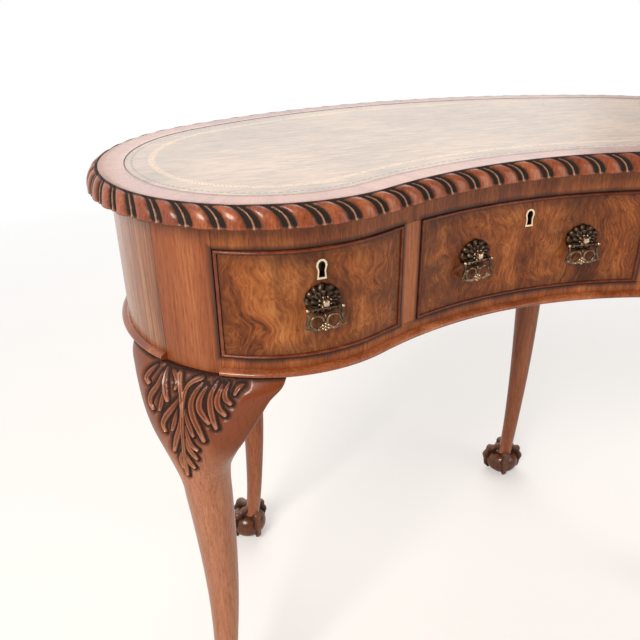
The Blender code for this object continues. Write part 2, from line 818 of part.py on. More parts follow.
def make_drawer_box(name, ends, back, parent):
    """Two sides, a back and a bottom behind the drawer front."""
    low = OPENING_BOTTOM + DRAWER_GAP / 2
    high = OPENING_TOP - SIDE_TOP_GAP
    behind = FRONT_THICKNESS + FIT
    outer = (ends[0] + DRAWER_GAP, ends[1] - DRAWER_GAP)
    inner = (outer[0] + SIDE_THICKNESS, outer[1] - SIDE_THICKNESS)
    for side, x_out, x_in in (("left", outer[0], inner[0]), ("right", outer[1], inner[1])):
        near = sorted((x_out, x_in))
        outline = [(x, y + behind) for x, y in front_line(*near)]
        outline += [(near[1], back), (near[0], back)]
        shape = prism(outline, low, high)
        solid(f"{name}_side_{side}", *shape, FINISHES["lining"], parent)
    inner = (inner[0] + FIT, inner[1] - FIT)
    shape = box((inner[0], back - BOX_BACK_THICKNESS, low), (inner[1], back, high))
    solid(name + "_back", *shape, FINISHES["lining"], parent)
    outline = [(x, y + behind) for x, y in front_line(*inner)]
    rear = back - BOX_BACK_THICKNESS - FIT
    outline += [(inner[1], rear), (inner[0], rear)]
    floor = low + BOTTOM_RISE
    shape = prism(outline, floor, floor + BOTTOM_THICKNESS)
    solid(name + "_bottom", *shape, FINISHES["lining"], parent)


def make_lock(name, x, parent):
    """The lock's case, open at the top round its bolt, and the bolt, which rises into the rail above."""
    y = bolt_centre_y(x)
    half = LOCK_WIDTH / 2
    slot = BOLT_WIDTH / 2 + FIT
    floor = LOCK_TOP - BOLT_HEIGHT - FIT
    low = LOCK_TOP - LOCK_HEIGHT
    profile = (
        (x - half, low),
        (x + half, low),
        (x + half, LOCK_TOP),
        (x + slot, LOCK_TOP),
        (x + slot, floor),
        (x - slot, floor),
        (x - slot, LOCK_TOP),
        (x - half, LOCK_TOP),
    )
    deep = LOCK_THICKNESS / 2
    rings = [[(a, level, b) for a, b in profile] for level in (y - deep, y + deep)]
    solid(name + "_lock_case", *loft(rings), FINISHES["steel"], parent)
    thin = deep - FIT
    bolt = box(
        (x - BOLT_WIDTH / 2, y - thin, floor + FIT), (x + BOLT_WIDTH / 2, y + thin, LOCK_TOP)
    )
    solid(name + "_lock_bolt", *bolt, FINISHES["plate"], parent, origin=(x, y, LOCK_TOP))


def plate_outline(x, inset):
    """The keyhole plate's outline across and up, drawn in by an inset."""
    wide = PLATE_WIDTH / 2 - inset
    tall = PLATE_HEIGHT / 2 - inset
    level = DESK_HEIGHT - KEYHOLE_DROP
    half = [(wide * a, tall * b) for a, b in PLATE_SHARES]
    mirrored = [(-a, b) for a, b in reversed(half[1:])]
    return [(x + a, level + b) for a, b in half + mirrored]


def make_plate(name, x, parent):
    """The keyhole plate, a ring of keyhole shape bent to the drawer front."""
    rings = []
    for (a, b), (c, d) in zip(plate_outline(x, 0.0), plate_outline(x, PLATE_RIM)):
        outer = front_y(a, -FRIEZE_INSET) - FIT
        inner = front_y(c, -FRIEZE_INSET) - FIT
        rings.append(
            [
                (a, outer - PLATE_THICKNESS, b),
                (a, outer, b),
                (c, inner, d),
                (c, inner - PLATE_THICKNESS, d),
            ]
        )
    solid(name + "_escutcheon", *loft(rings, closed=True), FINISHES["plate"], parent)


# Handles


def handle_place(x, across, out, up, curved=False):
    """A place on the handle whose post is at x: across it, out from the drawer front and up. The
    rosette is curved to the drawer front, and the rest of the handle is straight."""
    station = front_station(x, -FRIEZE_INSET)
    if curved:
        place = rim(station + across, out - FRIEZE_INSET)
    else:
        point, normal = rim_frame(station)
        place = point + normal * (out - FRIEZE_INSET) + Vector((-normal.y, normal.x)) * across
    return (*place, DESK_HEIGHT - HANDLE_DROP + up)


def rose_shape(x):
    """The domed rosette: a leafy outline that rises in steps to a square boss."""
    count = 24
    steps = (
        (1.0, FIT),
        (1.0, ROSE_EDGE),
        (0.60, ROSE_DOME * 0.8),
        (0.22, ROSE_DOME),
        (0.12, ROSE_DOME + BOSS_PROUD),
    )
    rings = []
    for share, out in steps:
        ring = []
        for k in range(count):
            angle = 2 * math.pi * k / count
            leaf = share * (1 + 0.09 * math.cos(8 * angle))
            across = ROSE_WIDTH / 2 * leaf * math.cos(angle)
            up = ROSE_HEIGHT / 2 * leaf * math.sin(angle)
            ring.append(handle_place(x, across, out, up, curved=True))
        rings.append(ring)
    return loft(rings)


def bar_shape(x, first, last, radius, sides=8):
    """A round bar across the handle, on its pivot line."""
    rings = []
    for across in (first, last):
        ring = []
        for k in range(sides):
            angle = 2 * math.pi * k / sides
            out = PIVOT_PROUD + radius * math.cos(angle)
            ring.append(handle_place(x, across, out, radius * math.sin(angle) - PIVOT_DROP))
        rings.append(ring)
    return loft(rings)


def lug_shape(x, first, last):
    """One of the rosette's two lugs, which hold the bail."""
    root = ROSE_EDGE / 2
    tip = PIVOT_PROUD + LUG_HEIGHT / 2
    rings = []
    for across in (first, last):
        ring = []
        for out, up in ((root, -1), (root, 1), (tip, 1), (tip, -1)):
            ring.append(handle_place(x, across, out, up * LUG_HEIGHT / 2 - PIVOT_DROP))
        rings.append(ring)
    return loft(rings)


def bail_shape(x):
    """The hanging bail: a flat pierced drop between two arms."""
    half = [(BAIL_WIDTH / 2 * a, BAIL_HEIGHT * b) for a, b in BAIL_SHARES]
    outline = half + [(-a, b) for a, b in reversed(half[1:-1])]
    rings = []
    for out in (PIVOT_PROUD - BAIL_THICKNESS / 2, PIVOT_PROUD + BAIL_THICKNESS / 2):
        rings.append([handle_place(x, a, out, b - PIVOT_DROP) for a, b in outline])
    return loft(rings)


def window_shape(x, across, up):
    """A cutter for one round window of the bail."""
    rings = []
    for out in (PIVOT_PROUD - BAIL_THICKNESS, PIVOT_PROUD + BAIL_THICKNESS):
        ring = []
        for k in range(10):
            angle = 2 * math.pi * k / 10
            place = across + WINDOW_RADIUS * math.cos(angle)
            rise = up + WINDOW_RADIUS * math.sin(angle)
            ring.append(handle_place(x, place, out, rise - PIVOT_DROP))
        rings.append(ring)
    return loft(rings)


def make_handle(name, x, parent):
    """A rosette with two lugs, and the bail whose pins turn in them."""
    arm = BAIL_WIDTH / 2 * BAIL_SHARES[4][0]
    lug_far = arm - PIVOT_CLEARANCE
    lug_near = lug_far - LUG_WIDTH
    rose = solid(name + "_rosette", *rose_shape(x), FINISHES["brass"], parent)
    pivot = handle_place(x, 0.0, PIVOT_PROUD, -PIVOT_DROP)
    shape = bail_shape(x)
    bail = solid(name + "_bail", *shape, FINISHES["brass"], parent, origin=pivot)
    for side, word in ((-1, "left"), (1, "right")):
        lug = helper(f"{name}_lug_{word}", lug_shape(x, side * lug_near, side * lug_far))
        join(rose, lug, "UNION")
        reach = lug_near - OVERRUN
        hole = bar_shape(x, side * reach, side * (arm + OVERRUN), PIVOT_RADIUS + PIVOT_CLEARANCE)
        join(rose, helper(f"{name}_hole_{word}", hole), "DIFFERENCE")
        pin = bar_shape(x, side * lug_near, side * (arm + BAIL_ARM / 2), PIVOT_RADIUS)
        join(bail, helper(f"{name}_pin_{word}", pin), "UNION")
        across = side * BAIL_WIDTH / 2 * WINDOW_SHARES[0]
        window = window_shape(x, across, BAIL_HEIGHT * WINDOW_SHARES[1])
        join(bail, helper(f"{name}_window_{word}", window), "DIFFERENCE")


def make_drawer(name, ends, handles):
    """A whole drawer under one parent, which slides it along -Y. Its lock is in the middle of it."""
    lock_x = (ends[0] + ends[1]) / 2
    back = panel_y(max(abs(end) for end in ends)) - BOX_BACK_GAP
    parent = empty(name, (lock_x, back, OPENING_BOTTOM))
    make_drawer_front(name, ends, lock_x, parent)
    make_cockbead(name, ends, parent)
    make_drawer_box(name, ends, back, parent)
    make_lock(name, lock_x, parent)
    make_plate(name, lock_x, parent)
    for handle, x in handles:
        make_handle(handle, x, parent)


def make_drawers():
    left = (-POST_SIDE_X, -DIVIDER_OUTER_X)
    right = (DIVIDER_OUTER_X, POST_SIDE_X)
    centre = (-DIVIDER_INNER_X, DIVIDER_INNER_X)
    make_drawer("drawer_left", left, [("handle_left", -SIDE_DRAWER_X)])
    make_drawer(
        "drawer_centre",
        centre,
        [("handle_centre_left", -CENTRE_HANDLE_X), ("handle_centre_right", CENTRE_HANDLE_X)],
    )
    make_drawer("drawer_right", right, [("handle_right", SIDE_DRAWER_X)])


def main():
    make_board()
    make_border()
    make_leather()
    make_gadroons()
    make_rails()
    make_dividers()
    make_panels()
    make_bearers()
    make_legs()
    make_drawers()


for leftover in list(bpy.data.objects):
    bpy.data.objects.remove(leftover)
FINISHES = make_finishes()
main()
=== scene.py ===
# %% [markdown]
# # A kidney shaped writing desk
#
# The real desk is a small writing desk of polished walnut. It has a leather lined top shaped like a
# kidney, a carved edge moulding, three bowed drawers faced with burr walnut and four cabriole legs
# with carved knees and claw and ball feet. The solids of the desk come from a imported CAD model. This
# script keeps them where they are, gives them finishes, and lays finer pieces over those that carry
# ornament.

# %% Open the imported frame
import math

import bmesh
import bpy
import numpy as np
from mathutils import Matrix, Vector


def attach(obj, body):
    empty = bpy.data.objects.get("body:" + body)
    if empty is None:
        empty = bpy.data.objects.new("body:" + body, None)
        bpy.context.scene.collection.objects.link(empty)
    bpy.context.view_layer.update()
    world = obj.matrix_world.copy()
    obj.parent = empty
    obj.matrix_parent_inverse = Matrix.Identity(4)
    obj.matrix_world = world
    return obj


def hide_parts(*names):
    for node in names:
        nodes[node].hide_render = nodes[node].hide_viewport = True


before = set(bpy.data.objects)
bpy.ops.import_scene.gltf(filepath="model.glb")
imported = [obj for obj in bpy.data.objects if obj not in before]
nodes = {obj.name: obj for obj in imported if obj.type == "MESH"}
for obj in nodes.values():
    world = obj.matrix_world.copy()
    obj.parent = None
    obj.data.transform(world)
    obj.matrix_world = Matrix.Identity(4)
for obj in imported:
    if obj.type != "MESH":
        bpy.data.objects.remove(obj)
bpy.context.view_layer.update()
MM = 0.001

# %% [markdown]
# ## The camera
#
# The photograph was taken from the left, a little above the desk, and close to it, so the near lobe of
# the top looks large. The camera stands where lines measured in the photograph meet: the uprights of
# the carcase, the edge of the top and the even rhythm of the edge moulding. A camera could be aimed
# with a Track To constraint, but a matrix built from three directions also carries the small roll.

# %% Place the camera
IMAGE = 640
FOCAL_PIXELS = 670.0
CAMERA_PLACE = Vector((-0.4392, -0.7552, 0.9306))
HEADING = math.radians(18.256)
PITCH = math.radians(26.98)
ROLL = 0.0148

looking = Vector(
    (math.sin(HEADING) * math.cos(PITCH), math.cos(HEADING) * math.cos(PITCH), -math.sin(PITCH))
)
level = Vector((math.cos(HEADING), -math.sin(HEADING), 0))
down = looking.cross(level)
if down.z > 0:
    down = -down
across = math.cos(ROLL) * level + math.sin(ROLL) * down
below = -math.sin(ROLL) * level + math.cos(ROLL) * down
lens = bpy.data.cameras.new("camera")
lens.sensor_width = 36.0
lens.lens = FOCAL_PIXELS / IMAGE * lens.sensor_width
lens.clip_start = 0.02
camera = bpy.data.objects.new("camera", lens)
bpy.context.scene.collection.objects.link(camera)
turn = Matrix((across, -below, -looking)).transposed().to_4x4()
turn.translation = CAMERA_PLACE
camera.matrix_world = turn
bpy.context.scene.camera = camera
print("lens in mm:", round(lens.lens, 2))

# %% [markdown]
# ## Colours and nodes
#
# Colours are written as they look on a screen, in sRGB hex, and turned to the linear values that a
# shader works in. Materials and Geometry Nodes trees are both graphs of nodes. What comes out of a
# node is wrapped in a Flow: plain arithmetic with it adds Math nodes, so a graph reads as a list of
# formulas.


# %% Helpers for colours and nodes
def colour(code):
    """The linear colour of an sRGB hex code."""
    values = [int(code[k : k + 2], 16) / 255 for k in (1, 3, 5)]
    linear = [v / 12.92 if v <= 0.04045 else ((v + 0.055) / 1.055) ** 2.4 for v in values]
    return (*linear, 1.0)


class Flow:
    """An output of a node. Arithmetic adds Math nodes, and brackets pick another output."""

    def __init__(self, source, output=0):
        self.source, self.output, self.tree = source, output, source.id_data

    def __getitem__(self, output):
        return Flow(self.source, output)

    def __add__(self, other):
        return maths("ADD", self, other)

    def __sub__(self, other):
        return maths("SUBTRACT", self, other)

    def __rsub__(self, other):
        return maths("SUBTRACT", other, self)

    def __mul__(self, other):
        return maths("MULTIPLY", self, other)

    def __truediv__(self, other):
        return maths("DIVIDE", self, other)

    def __abs__(self):
        return maths("ABSOLUTE", self)


def fill(made, inputs):
    """Links or sets inputs of a node, by name or number. Text that starts with # is a colour."""
    for key, value in inputs.items():
        if isinstance(value, Flow):
            made.id_data.links.new(value.source.outputs[value.output], made.inputs[key])
        else:
            made.inputs[key].default_value = colour(value) if str(value)[0] == "#" else value


def add_node(tree, kind, inputs=(), ramp=(), curve=(), **settings):
    """Adds a node, sets its properties and its ramp or curve, and fills its inputs."""
    made = tree.nodes.new(kind)
    for key, value in settings.items():
        setattr(made, key, value)
    if ramp:
        elements = made.color_ramp.elements
        while len(elements) < len(ramp):
            elements.new(0.5)
        for element, (place, code) in zip(elements, ramp):
            element.position = place
            element.color = colour(code)
    if curve:
        points = made.mapping.curves[0].points
        while len(points) < len(curve):
            points.new(0.5, 0.5)
        for point, place in zip(points, curve):
            point.location = place
        made.mapping.update()
    fill(made, dict(inputs))
    return made


def node(tree, kind, inputs=(), **settings):
    """What flows from a new node."""
    return Flow(add_node(tree, kind, inputs, **settings))


def maths(operation, *values, **settings):
    """One Math node, in the tree of the first value that flows."""
    tree = next(value.tree for value in values if isinstance(value, Flow))
    return node(tree, "ShaderNodeMath", dict(enumerate(values)), operation=operation, **settings)


def remap(value, start, end, low=0.0, high=1.0):
    """Carries the range from start to end onto the one from low to high, and stays in it."""
    given = {"Value": value, "From Min": start, "From Max": end, "To Min": low, "To Max": high}
    return node(value.tree, "ShaderNodeMapRange", given)


def between(share, first, second):
    """A mix of two numbers."""
    return node(first.tree, "ShaderNodeMix", {0: share, 2: first, 3: second})


def blend(share, first, second):
    """A mix of two colours."""
    return node(share.tree, "ShaderNodeMix", {0: share, 6: first, 7: second}, data_type="RGBA")[2]


def shade(value, *stops):
    """The colour that a ramp of stops gives a value."""
    return node(value.tree, "ShaderNodeValToRGB", {0: value}, ramp=stops)


def stretched(place, scale, turn=(0.0, 0.0, 0.0)):
    """A place in a turned and stretched space, where even noise becomes grain."""
    return node(place.tree, "ShaderNodeMapping", {"Vector": place, "Rotation": turn, "Scale": scale})


def noise(place, scale, detail, rough=0.5, warp=0.0):
    """Smooth noise at a place."""
    given = {"Vector": place, "Scale": scale, "Detail": detail, "Roughness": rough, "Distortion": warp}
    return node(place.tree, "ShaderNodeTexNoise", given)


def bumps(height, strength, deep):
    """The normal of a surface that a height raises."""
    given = {"Strength": strength, "Distance": deep, "Height": height}
    return node(height.tree, "ShaderNodeBump", given)


def parts_of(vector):
    """The X, Y and Z of a vector, picked by brackets."""
    return node(vector.tree, "ShaderNodeSeparateXYZ", {0: vector})


def new_material(name):
    """An empty material with one shader, its output, and the coordinates that it reads."""
    made = bpy.data.materials.new(name)
    made.use_nodes = True
    tree = made.node_tree
    tree.nodes.clear()
    shader = add_node(tree, "ShaderNodeBsdfPrincipled")
    add_node(tree, "ShaderNodeOutputMaterial", {"Surface": Flow(shader)})
    return made, shader, node(tree, "ShaderNodeTexCoord")["Object"]


print("white in linear light:", colour("#ffffff"))

# %% [markdown]
# ## Floor, light and backdrop
#
# The desk stands in a white studio. The floor is matt and pale and keeps the soft shadow under each
# foot. A little emission for camera rays alone lifts it to the white of the photograph. The camera
# sees a white world, but in the polish the wood mirrors a room that is bright behind the desk and dim
# on the camera's side. The even light of the world on the wood is set apart from both.

# %% Build the studio
BRIGHT_WALL = (-0.50, 0.80, 0.33)
FLOOR_HALF = 9.0
WHITE = "#ffffff"
bpy.context.scene.view_settings.view_transform = "Standard"


def seen_rays(tree):
    """1 for rays that are seen, straight or in a mirror, and 1 for those that are seen straight."""
    path = node(tree, "ShaderNodeLightPath")
    mirrored = maths("MAXIMUM", path["Is Glossy Ray"], path["Is Transmission Ray"])
    return maths("MAXIMUM", mirrored, path["Is Camera Ray"]), path["Is Camera Ray"]


world = bpy.data.worlds.new("studio")
bpy.context.scene.world = world
world.use_nodes = True
tree = world.node_tree
tree.nodes.clear()
seen, straight = seen_rays(tree)
toward = {0: node(tree, "ShaderNodeTexCoord")["Generated"], 1: BRIGHT_WALL}
lit_side = node(tree, "ShaderNodeVectorMath", toward, operation="DOT_PRODUCT")["Value"]
room = maths("MAXIMUM", remap(lit_side, -0.35, 0.45, 0.22, 1.0), straight)
even_light = node(tree, "ShaderNodeBackground", {"Color": "#fffdfb", "Strength": 0.42})
shown = node(tree, "ShaderNodeBackground", {"Color": WHITE, "Strength": room})
mixed = node(tree, "ShaderNodeMixShader", {0: seen, 1: even_light, 2: shown})
add_node(tree, "ShaderNodeOutputWorld", {"Surface": mixed})

studio_floor, shader, place = new_material("matt_studio_floor")
tree = place.tree
fill(shader, {"Base Color": "#d6d2ce", "Roughness": 0.8, "Specular IOR Level": 0.2})
seen, straight = seen_rays(tree)
glow = node(tree, "ShaderNodeEmission", {"Color": WHITE, "Strength": straight * 0.34})
near = node(tree, "ShaderNodeAddShader", {0: Flow(shader), 1: glow})
away = node(tree, "ShaderNodeVectorMath", {0: place}, operation="LENGTH")["Value"]
white = node(tree, "ShaderNodeEmission", {"Color": WHITE, "Strength": 1.0})
swept = node(tree, "ShaderNodeMixShader", {0: remap(away, 0.9, 2.6) * seen, 1: near, 2: white})
fill(next(item for item in tree.nodes if item.type == "OUTPUT_MATERIAL"), {"Surface": swept})

sheet = bpy.data.meshes.new("studio_floor")
corners = [(x * FLOOR_HALF, y * FLOOR_HALF, 0) for x, y in ((-1, -1), (1, -1), (1, 1), (-1, 1))]
sheet.from_pydata(corners, [], [(0, 1, 2, 3)])
sheet.materials.append(studio_floor)
floor = bpy.data.objects.new("studio_floor", sheet)
bpy.context.scene.collection.objects.link(floor)


def softbox(name, place, target, size, power, tint):
    """A square area light at a place, turned to a target."""
    lamp = bpy.data.lights.new(name, "AREA")
    lamp.shape = "SQUARE"
    lamp.size = size
    lamp.energy = power
    lamp.color = colour(tint)[:3]
    made = bpy.data.objects.new(name, lamp)
    aim = (Vector(target) - Vector(place)).to_track_quat("-Z", "Y")
    made.matrix_world = Matrix.Translation(place) @ aim.to_matrix().to_4x4()
    bpy.context.scene.collection.objects.link(made)


softbox("softbox_front_left", (-1.9, -1.7, 2.3), (0.0, 0.0, 0.6), 1.1, 70.0, "#fff7ee")
softbox("softbox_front_right", (1.9, -1.9, 1.3), (0.0, 0.0, 0.5), 1.6, 17.0, "#fffaf4")
softbox("softbox_behind", (0.6, 1.9, 2.4), (0.0, 0.1, 0.6), 2.6, 30.0, WHITE)

# %% [markdown]
# ## The line of the plan
#
# The kidney is one smooth line of tangent arcs: a wide arc along the back, a tighter shoulder, the
# round lobe, and a hollow across the front. Most pieces of the desk follow that line at some distance
# from it, so everything below asks one function for the point at a distance along the line (a
# station) and outside it (an offset).

# %% Draw the plan line
BACK_REACH = 227.1 * MM
TURNS = ((717.4 * MM, 26.77), (212.3 * MM, 85.10), (173.5 * MM, 93.03))


def plan_arcs():
    """Station, heading, centre and radius of each arc of the left half, and where the half ends."""
    arcs = []
    station, heading = 0.0, math.pi
    start = np.array([0.0, BACK_REACH])
    for radius, sweep in TURNS:
        normal = np.array([math.sin(heading), -math.cos(heading)])
        centre = start - radius * normal
        arcs.append((station, heading, *centre, radius))
        station += radius * math.radians(sweep)
        heading += math.radians(sweep)
        start = centre + radius * np.array([math.sin(heading), -math.cos(heading)])
    left_over = heading - 2 * math.pi
    radius = start[0] / math.sin(left_over)
    centre = start - radius * np.array([math.sin(heading), -math.cos(heading)])
    arcs.append((station, heading, *centre, radius))
    return np.array(arcs), station - radius * left_over


ARCS, HALF_LINE = plan_arcs()


def plan(station):
    """Points and outward normals of the plan line, right round from the middle of the back."""
    station = np.mod(np.asarray(station, float), 2 * HALF_LINE)
    side = np.where(station > HALF_LINE, -1.0, 1.0)
    station = np.where(station > HALF_LINE, 2 * HALF_LINE - station, station)
    arc = ARCS[np.searchsorted(ARCS[:, 0], station, side="right") - 1]
    angle = arc[..., 1] + (station - arc[..., 0]) / arc[..., 4]
    normal = np.stack([np.sin(angle), -np.cos(angle)], -1)
    point = arc[..., 2:4] + arc[..., 4:5] * normal
    flip = np.stack([side, np.ones_like(side)], -1)
    return point * flip, normal * flip


def rim(station, offset=0.0):
    """The point of the plan that lies this far outside the line at a station."""
    point, normal = plan(station)
    return point + np.asarray(offset)[..., None] * normal


def front_station(x, offset):
    """Station on the drawer side where the offset line reaches x."""
    stations = np.linspace(0.6, 2 * HALF_LINE - 0.6, 6000)
    places = rim(stations, offset)
    near = places[:, 1] < 0
    return float(np.interp(x, places[near, 0], stations[near]))


print("half of the plan line in mm:", round(HALF_LINE / MM, 1))


# %% [markdown]
# ## Making meshes
#
# Most fine pieces here are skins through rings of points, the way a wicker basket or a boat's hull is
# built up. The helper joins the rings, closes the ends, and can carry attributes, which a material
# reads later to follow the carving.


# %% Helpers for skins through rings
def add_piece(name, mesh, material, replaced=(), body="desk"):
    """One finished piece at the origin, on its body, standing for the CAD nodes it replaces."""
    mesh.materials.clear()
    mesh.materials.append(material)
    made = bpy.data.objects.new(name, mesh)
    bpy.context.scene.collection.objects.link(made)
    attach(made, body)
    if replaced:
        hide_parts(*replaced)


def skin(points, along=False):
    """Faces over rings of points, with the last ring joined to the first if along, or else capped."""
    rows, count = points.shape[:2]
    index = np.arange(rows * count).reshape(rows, count)
    if along:
        index = np.vstack([index, index[:1]])
    index = np.hstack([index, index[:, :1]])
    quads = np.stack([index[:-1, :-1], index[:-1, 1:], index[1:, 1:], index[1:, :-1]], -1)
    faces = [tuple(quad) for quad in quads.reshape(-1, 4).tolist()]
    if not along:
        faces.append(tuple(range(count)))
        faces.append(tuple(range(rows * count - 1, (rows - 1) * count - 1, -1)))
    return points.reshape(-1, 3), faces


def make_mesh(name, parts, smooth_angle=40.0, hollow=(), rib=()):
    """One mesh from parts of points and faces, with the hollows and ribs that each part carries."""
    points, faces, start = [], [], 0
    for part_points, part_faces in parts:
        points.append(part_points)
        faces += [tuple(start + k for k in face) for face in part_faces]
        start += len(part_points)
    mesh = bpy.data.meshes.new(name)
    mesh.from_pydata(np.concatenate(points).tolist(), [], faces)
    for key, values in (("hollow", hollow), ("rib", rib)):
        if len(values):
            layer = mesh.attributes.new(key, "FLOAT", "POINT")
            layer.data.foreach_set("value", np.concatenate(values).astype(np.float32))
    edit = bmesh.new()
    edit.from_mesh(mesh)
    bmesh.ops.recalc_face_normals(edit, faces=edit.faces)
    edit.to_mesh(mesh)
    edit.free()
    mesh.shade_smooth()
    mesh.set_sharp_from_angle(angle=math.radians(smooth_angle))
    return mesh


def raised(flat, level):
    """Places on the plan, given their height."""
    return np.concatenate([flat, np.broadcast_to(level, (*flat.shape[:-1], 1))], -1)


def spins(count):
    """Angles evenly spread right round."""
    return np.linspace(0, 2 * math.pi, count + 1)[:-1]


def unit(value):
    """A value held between 0 and 1."""
    return np.clip(value, 0, 1)


def bell(value, centre, width):
    """A smooth bump of height 1 round a centre."""
    return np.exp(-(((value - centre) / width) ** 2))


print("helpers ready")

# %% [markdown]
# ## French polished walnut
#
# The carcase is faced with straight grained walnut whose grain stands upright, also across the narrow
# rails, where it shows as fine upright lines. The polish is shellac rubbed to a deep gloss. The grain
# is noise stretched along Z: slow streaks of colour, finer fibres and short dark pores. The real pores
# are about 0.1 mm wide, too fine to show here, so they are drawn at about 0.6 mm.


# %% Mix the polished walnut
DRAWER_LEVEL = 661.3 * MM
DRAWER_HALF_HEIGHT = 51.8 * MM
CENTRE_DRAWER_HALF = 138.7 * MM
SIDE_DRAWER_HALF = 90.95 * MM
SIDE_DRAWER_MIDDLE = 259.75 * MM


def beside_drawers(place):
    """How far a place lies outside the drawer fronts, seen from the front, or minus how far inside."""
    spot = parts_of(place)
    across = abs(spot["X"])
    side_drawer = abs(across - SIDE_DRAWER_MIDDLE) - SIDE_DRAWER_HALF
    aside = maths("MINIMUM", side_drawer, across - CENTRE_DRAWER_HALF)
    return maths("MAXIMUM", aside, abs(spot["Z"] - DRAWER_LEVEL) - DRAWER_HALF_HEIGHT)


def carving_marks(tree):
    """Dark hollows (patina, painted shade) and bright ribs (wear, painted highlights), as attributes."""
    return [node(tree, "ShaderNodeAttribute", attribute_name=name)["Fac"] for name in ("hollow", "rib")]


def walnut(name, tones, roughness, grain=(1.0, 1.0, 0.05), streak=1.0, shine=0.15, **extras):
    """Polished walnut with its grain along the stretched axis and its tones from dark to light.

    Three extras can be given. worn names the colours of the hollows, which stand for patina and
    painted shade, and of the ribs, which stand for rubbed wear and painted highlights, of a carved
    piece.
    Stain is a darker tone and the two heights between which it comes in. Framing darkens the wood that
    frames a drawer with old wax and painted shade.
    """
    made, shader, place = new_material(name)
    laid = stretched(place, grain)
    wander = noise(laid, 24.0, 3.0, warp=0.7)
    fibres = noise(laid, 430.0, 4.0, 0.7)
    pores = noise(laid, 1400.0, 1.0)
    stops = zip((0.5 - 0.17 * streak, 0.5, 0.5 + 0.16 * streak), tones.split())
    tone = shade(between(0.46, wander, fibres), *stops)
    if "stain" in extras:
        darker, low, high = extras["stain"]
        tone = blend(remap((wander - 0.5) * 0.10 + parts_of(place)["Z"], low, high), tone, darker)
    tone = blend(remap(pores, 0.58, 0.72, 0.0, 0.5), tone, "#2a120a")
    if "framing" in extras:
        # Painted shade round the drawer openings, with old wax: wood near a drawer is darkened.
        near = (wander - 0.5) * (4.0 * MM) + beside_drawers(place)
        tone = blend(remap(near, 4.4 * MM, 9.0 * MM, 0.9, 0.0), tone, "#1d0f08")
    rough = remap(wander, 0.0, 1.0, roughness - 0.05, roughness + 0.09)
    coat = shine
    if "worn" in extras:
        hollow_shade, rib_shade = extras["worn"]
        hollow, rib = carving_marks(place.tree)
        # Painted shade with patina darkens the hollows; painted highlights with rubbed wear lighten the
        # ribs.
        dirt_and_shade = remap((noise(place, 420.0, 3.0) - 0.5) * 0.5 + hollow, 0.14, 1.0)
        tone = blend(dirt_and_shade, blend(rib * 0.7, tone, rib_shade), hollow_shade)
        rough = dirt_and_shade * (0.75 - roughness) + rough
        coat = dirt_and_shade * -shine + shine
    fill(shader, {"Base Color": tone, "Roughness": rough, "Specular IOR Level": 0.28})
    fill(shader, {"Coat Weight": coat, "Coat Roughness": 0.14, "Normal": bumps(fibres, 0.15, 0.2 * MM)})
    return made


EDGE_WEAR_AND_LIGHT = {"worn": ("#241812", "#dba884"), "shine": 0.5}
LEG_WEAR_AND_LIGHT = {"worn": ("#25130b", "#cf9474"), "stain": ("#7a3915", 0.455, 0.520), "shine": 0.38}
polished_post = walnut("french_polished_walnut_post", "#7e3c1c #9c5831 #b77349", 0.36, framing=True)
veneered_panel = walnut(
    "french_polished_walnut_veneer", "#5c3019 #9a623d #c4926b", 0.25, (1.0, 1.0, 0.03), 0.95, 0.5
)
rail_walnut = walnut(
    "cross_grained_walnut_rail", "#4e200b #8c4a22 #ba703a", 0.36, (1.0, 1.0, 0.11), 1.15, framing=True
)
bead_walnut = walnut("rubbed_walnut_bead", "#692f14 #934f2b #b87046", 0.26, (1.0, 1.0, 0.3), shine=0.6)
cockbead_walnut = walnut(
    "dark_cockbead_walnut", "#3f150a #6b2f17 #94502e", 0.32, (0.2, 0.5, 0.2), shine=0.3
)
carved_walnut = walnut("carved_walnut_edge", "#6b2d14 #944a26 #bb7044", 0.37, **EDGE_WEAR_AND_LIGHT)
leg_walnut = walnut("polished_leg_walnut", "#9c5d3b #bb7b59 #cf9473", 0.29, **LEG_WEAR_AND_LIGHT)
# A darker copy of the leg walnut on the back legs paints the shade that they stand in.
back_leg_shaded_walnut = walnut("darker_back_leg_walnut", "#783a1c #985632 #b5744f", 0.29, **LEG_WEAR_AND_LIGHT)
print("walnut finishes:", len(bpy.data.materials) - 1)

# %% [markdown]
# ## Burr walnut
#
# The drawer fronts are faced with burr, cut from the knotty growths at the foot of the tree, where the
# grain swirls round small dark eyes. Noise that pushes another noise about gives the swirls, and a slow
# noise lays dark clouds over them. A thin slice through another noise gives the dark wandering lines,
# and warped cells give the clusters of eyes, which are 2 to 4 mm across. Old wax and painted shade
# darken the edges, the walls of the keyholes are painted dark for the shade in them, and behind the
# veneer the wood is bare.

# %% Mix the burr walnut
FIGURE_TURN = (0.0, 0.35, 0.0)
burr_walnut, shader, place = new_material("burr_walnut_veneer")
tree = place.tree
slow = noise(place, 7.5, 3.0, 0.6)
push = {0: slow["Color"], 1: (0.5, 0.5, 0.5)}
push = node(tree, "ShaderNodeVectorMath", push, operation="SUBTRACT")
pushed = {0: push, 1: (0.12, 0.12, 0.10), 2: place}
pushed = node(tree, "ShaderNodeVectorMath", pushed, operation="MULTIPLY_ADD")
swirl = noise(stretched(pushed, (1.0, 1.0, 0.22), FIGURE_TURN), 17.0, 5.0, 0.62, 0.9)
fibres = noise(stretched(pushed, (1.0, 1.0, 0.055), FIGURE_TURN), 330.0, 5.0, 0.75, 0.3)
stops = (0.36, "#3a1a09"), (0.45, "#733a17"), (0.53, "#975427"), (0.64, "#bd7a45")
tone = shade(between(0.47, swirl, fibres), *stops)
tone = blend(remap(noise(place, 11.0, 4.0, 0.6, 0.6), 0.50, 0.67, 0.0, 0.7), tone, "#3b1b0c")
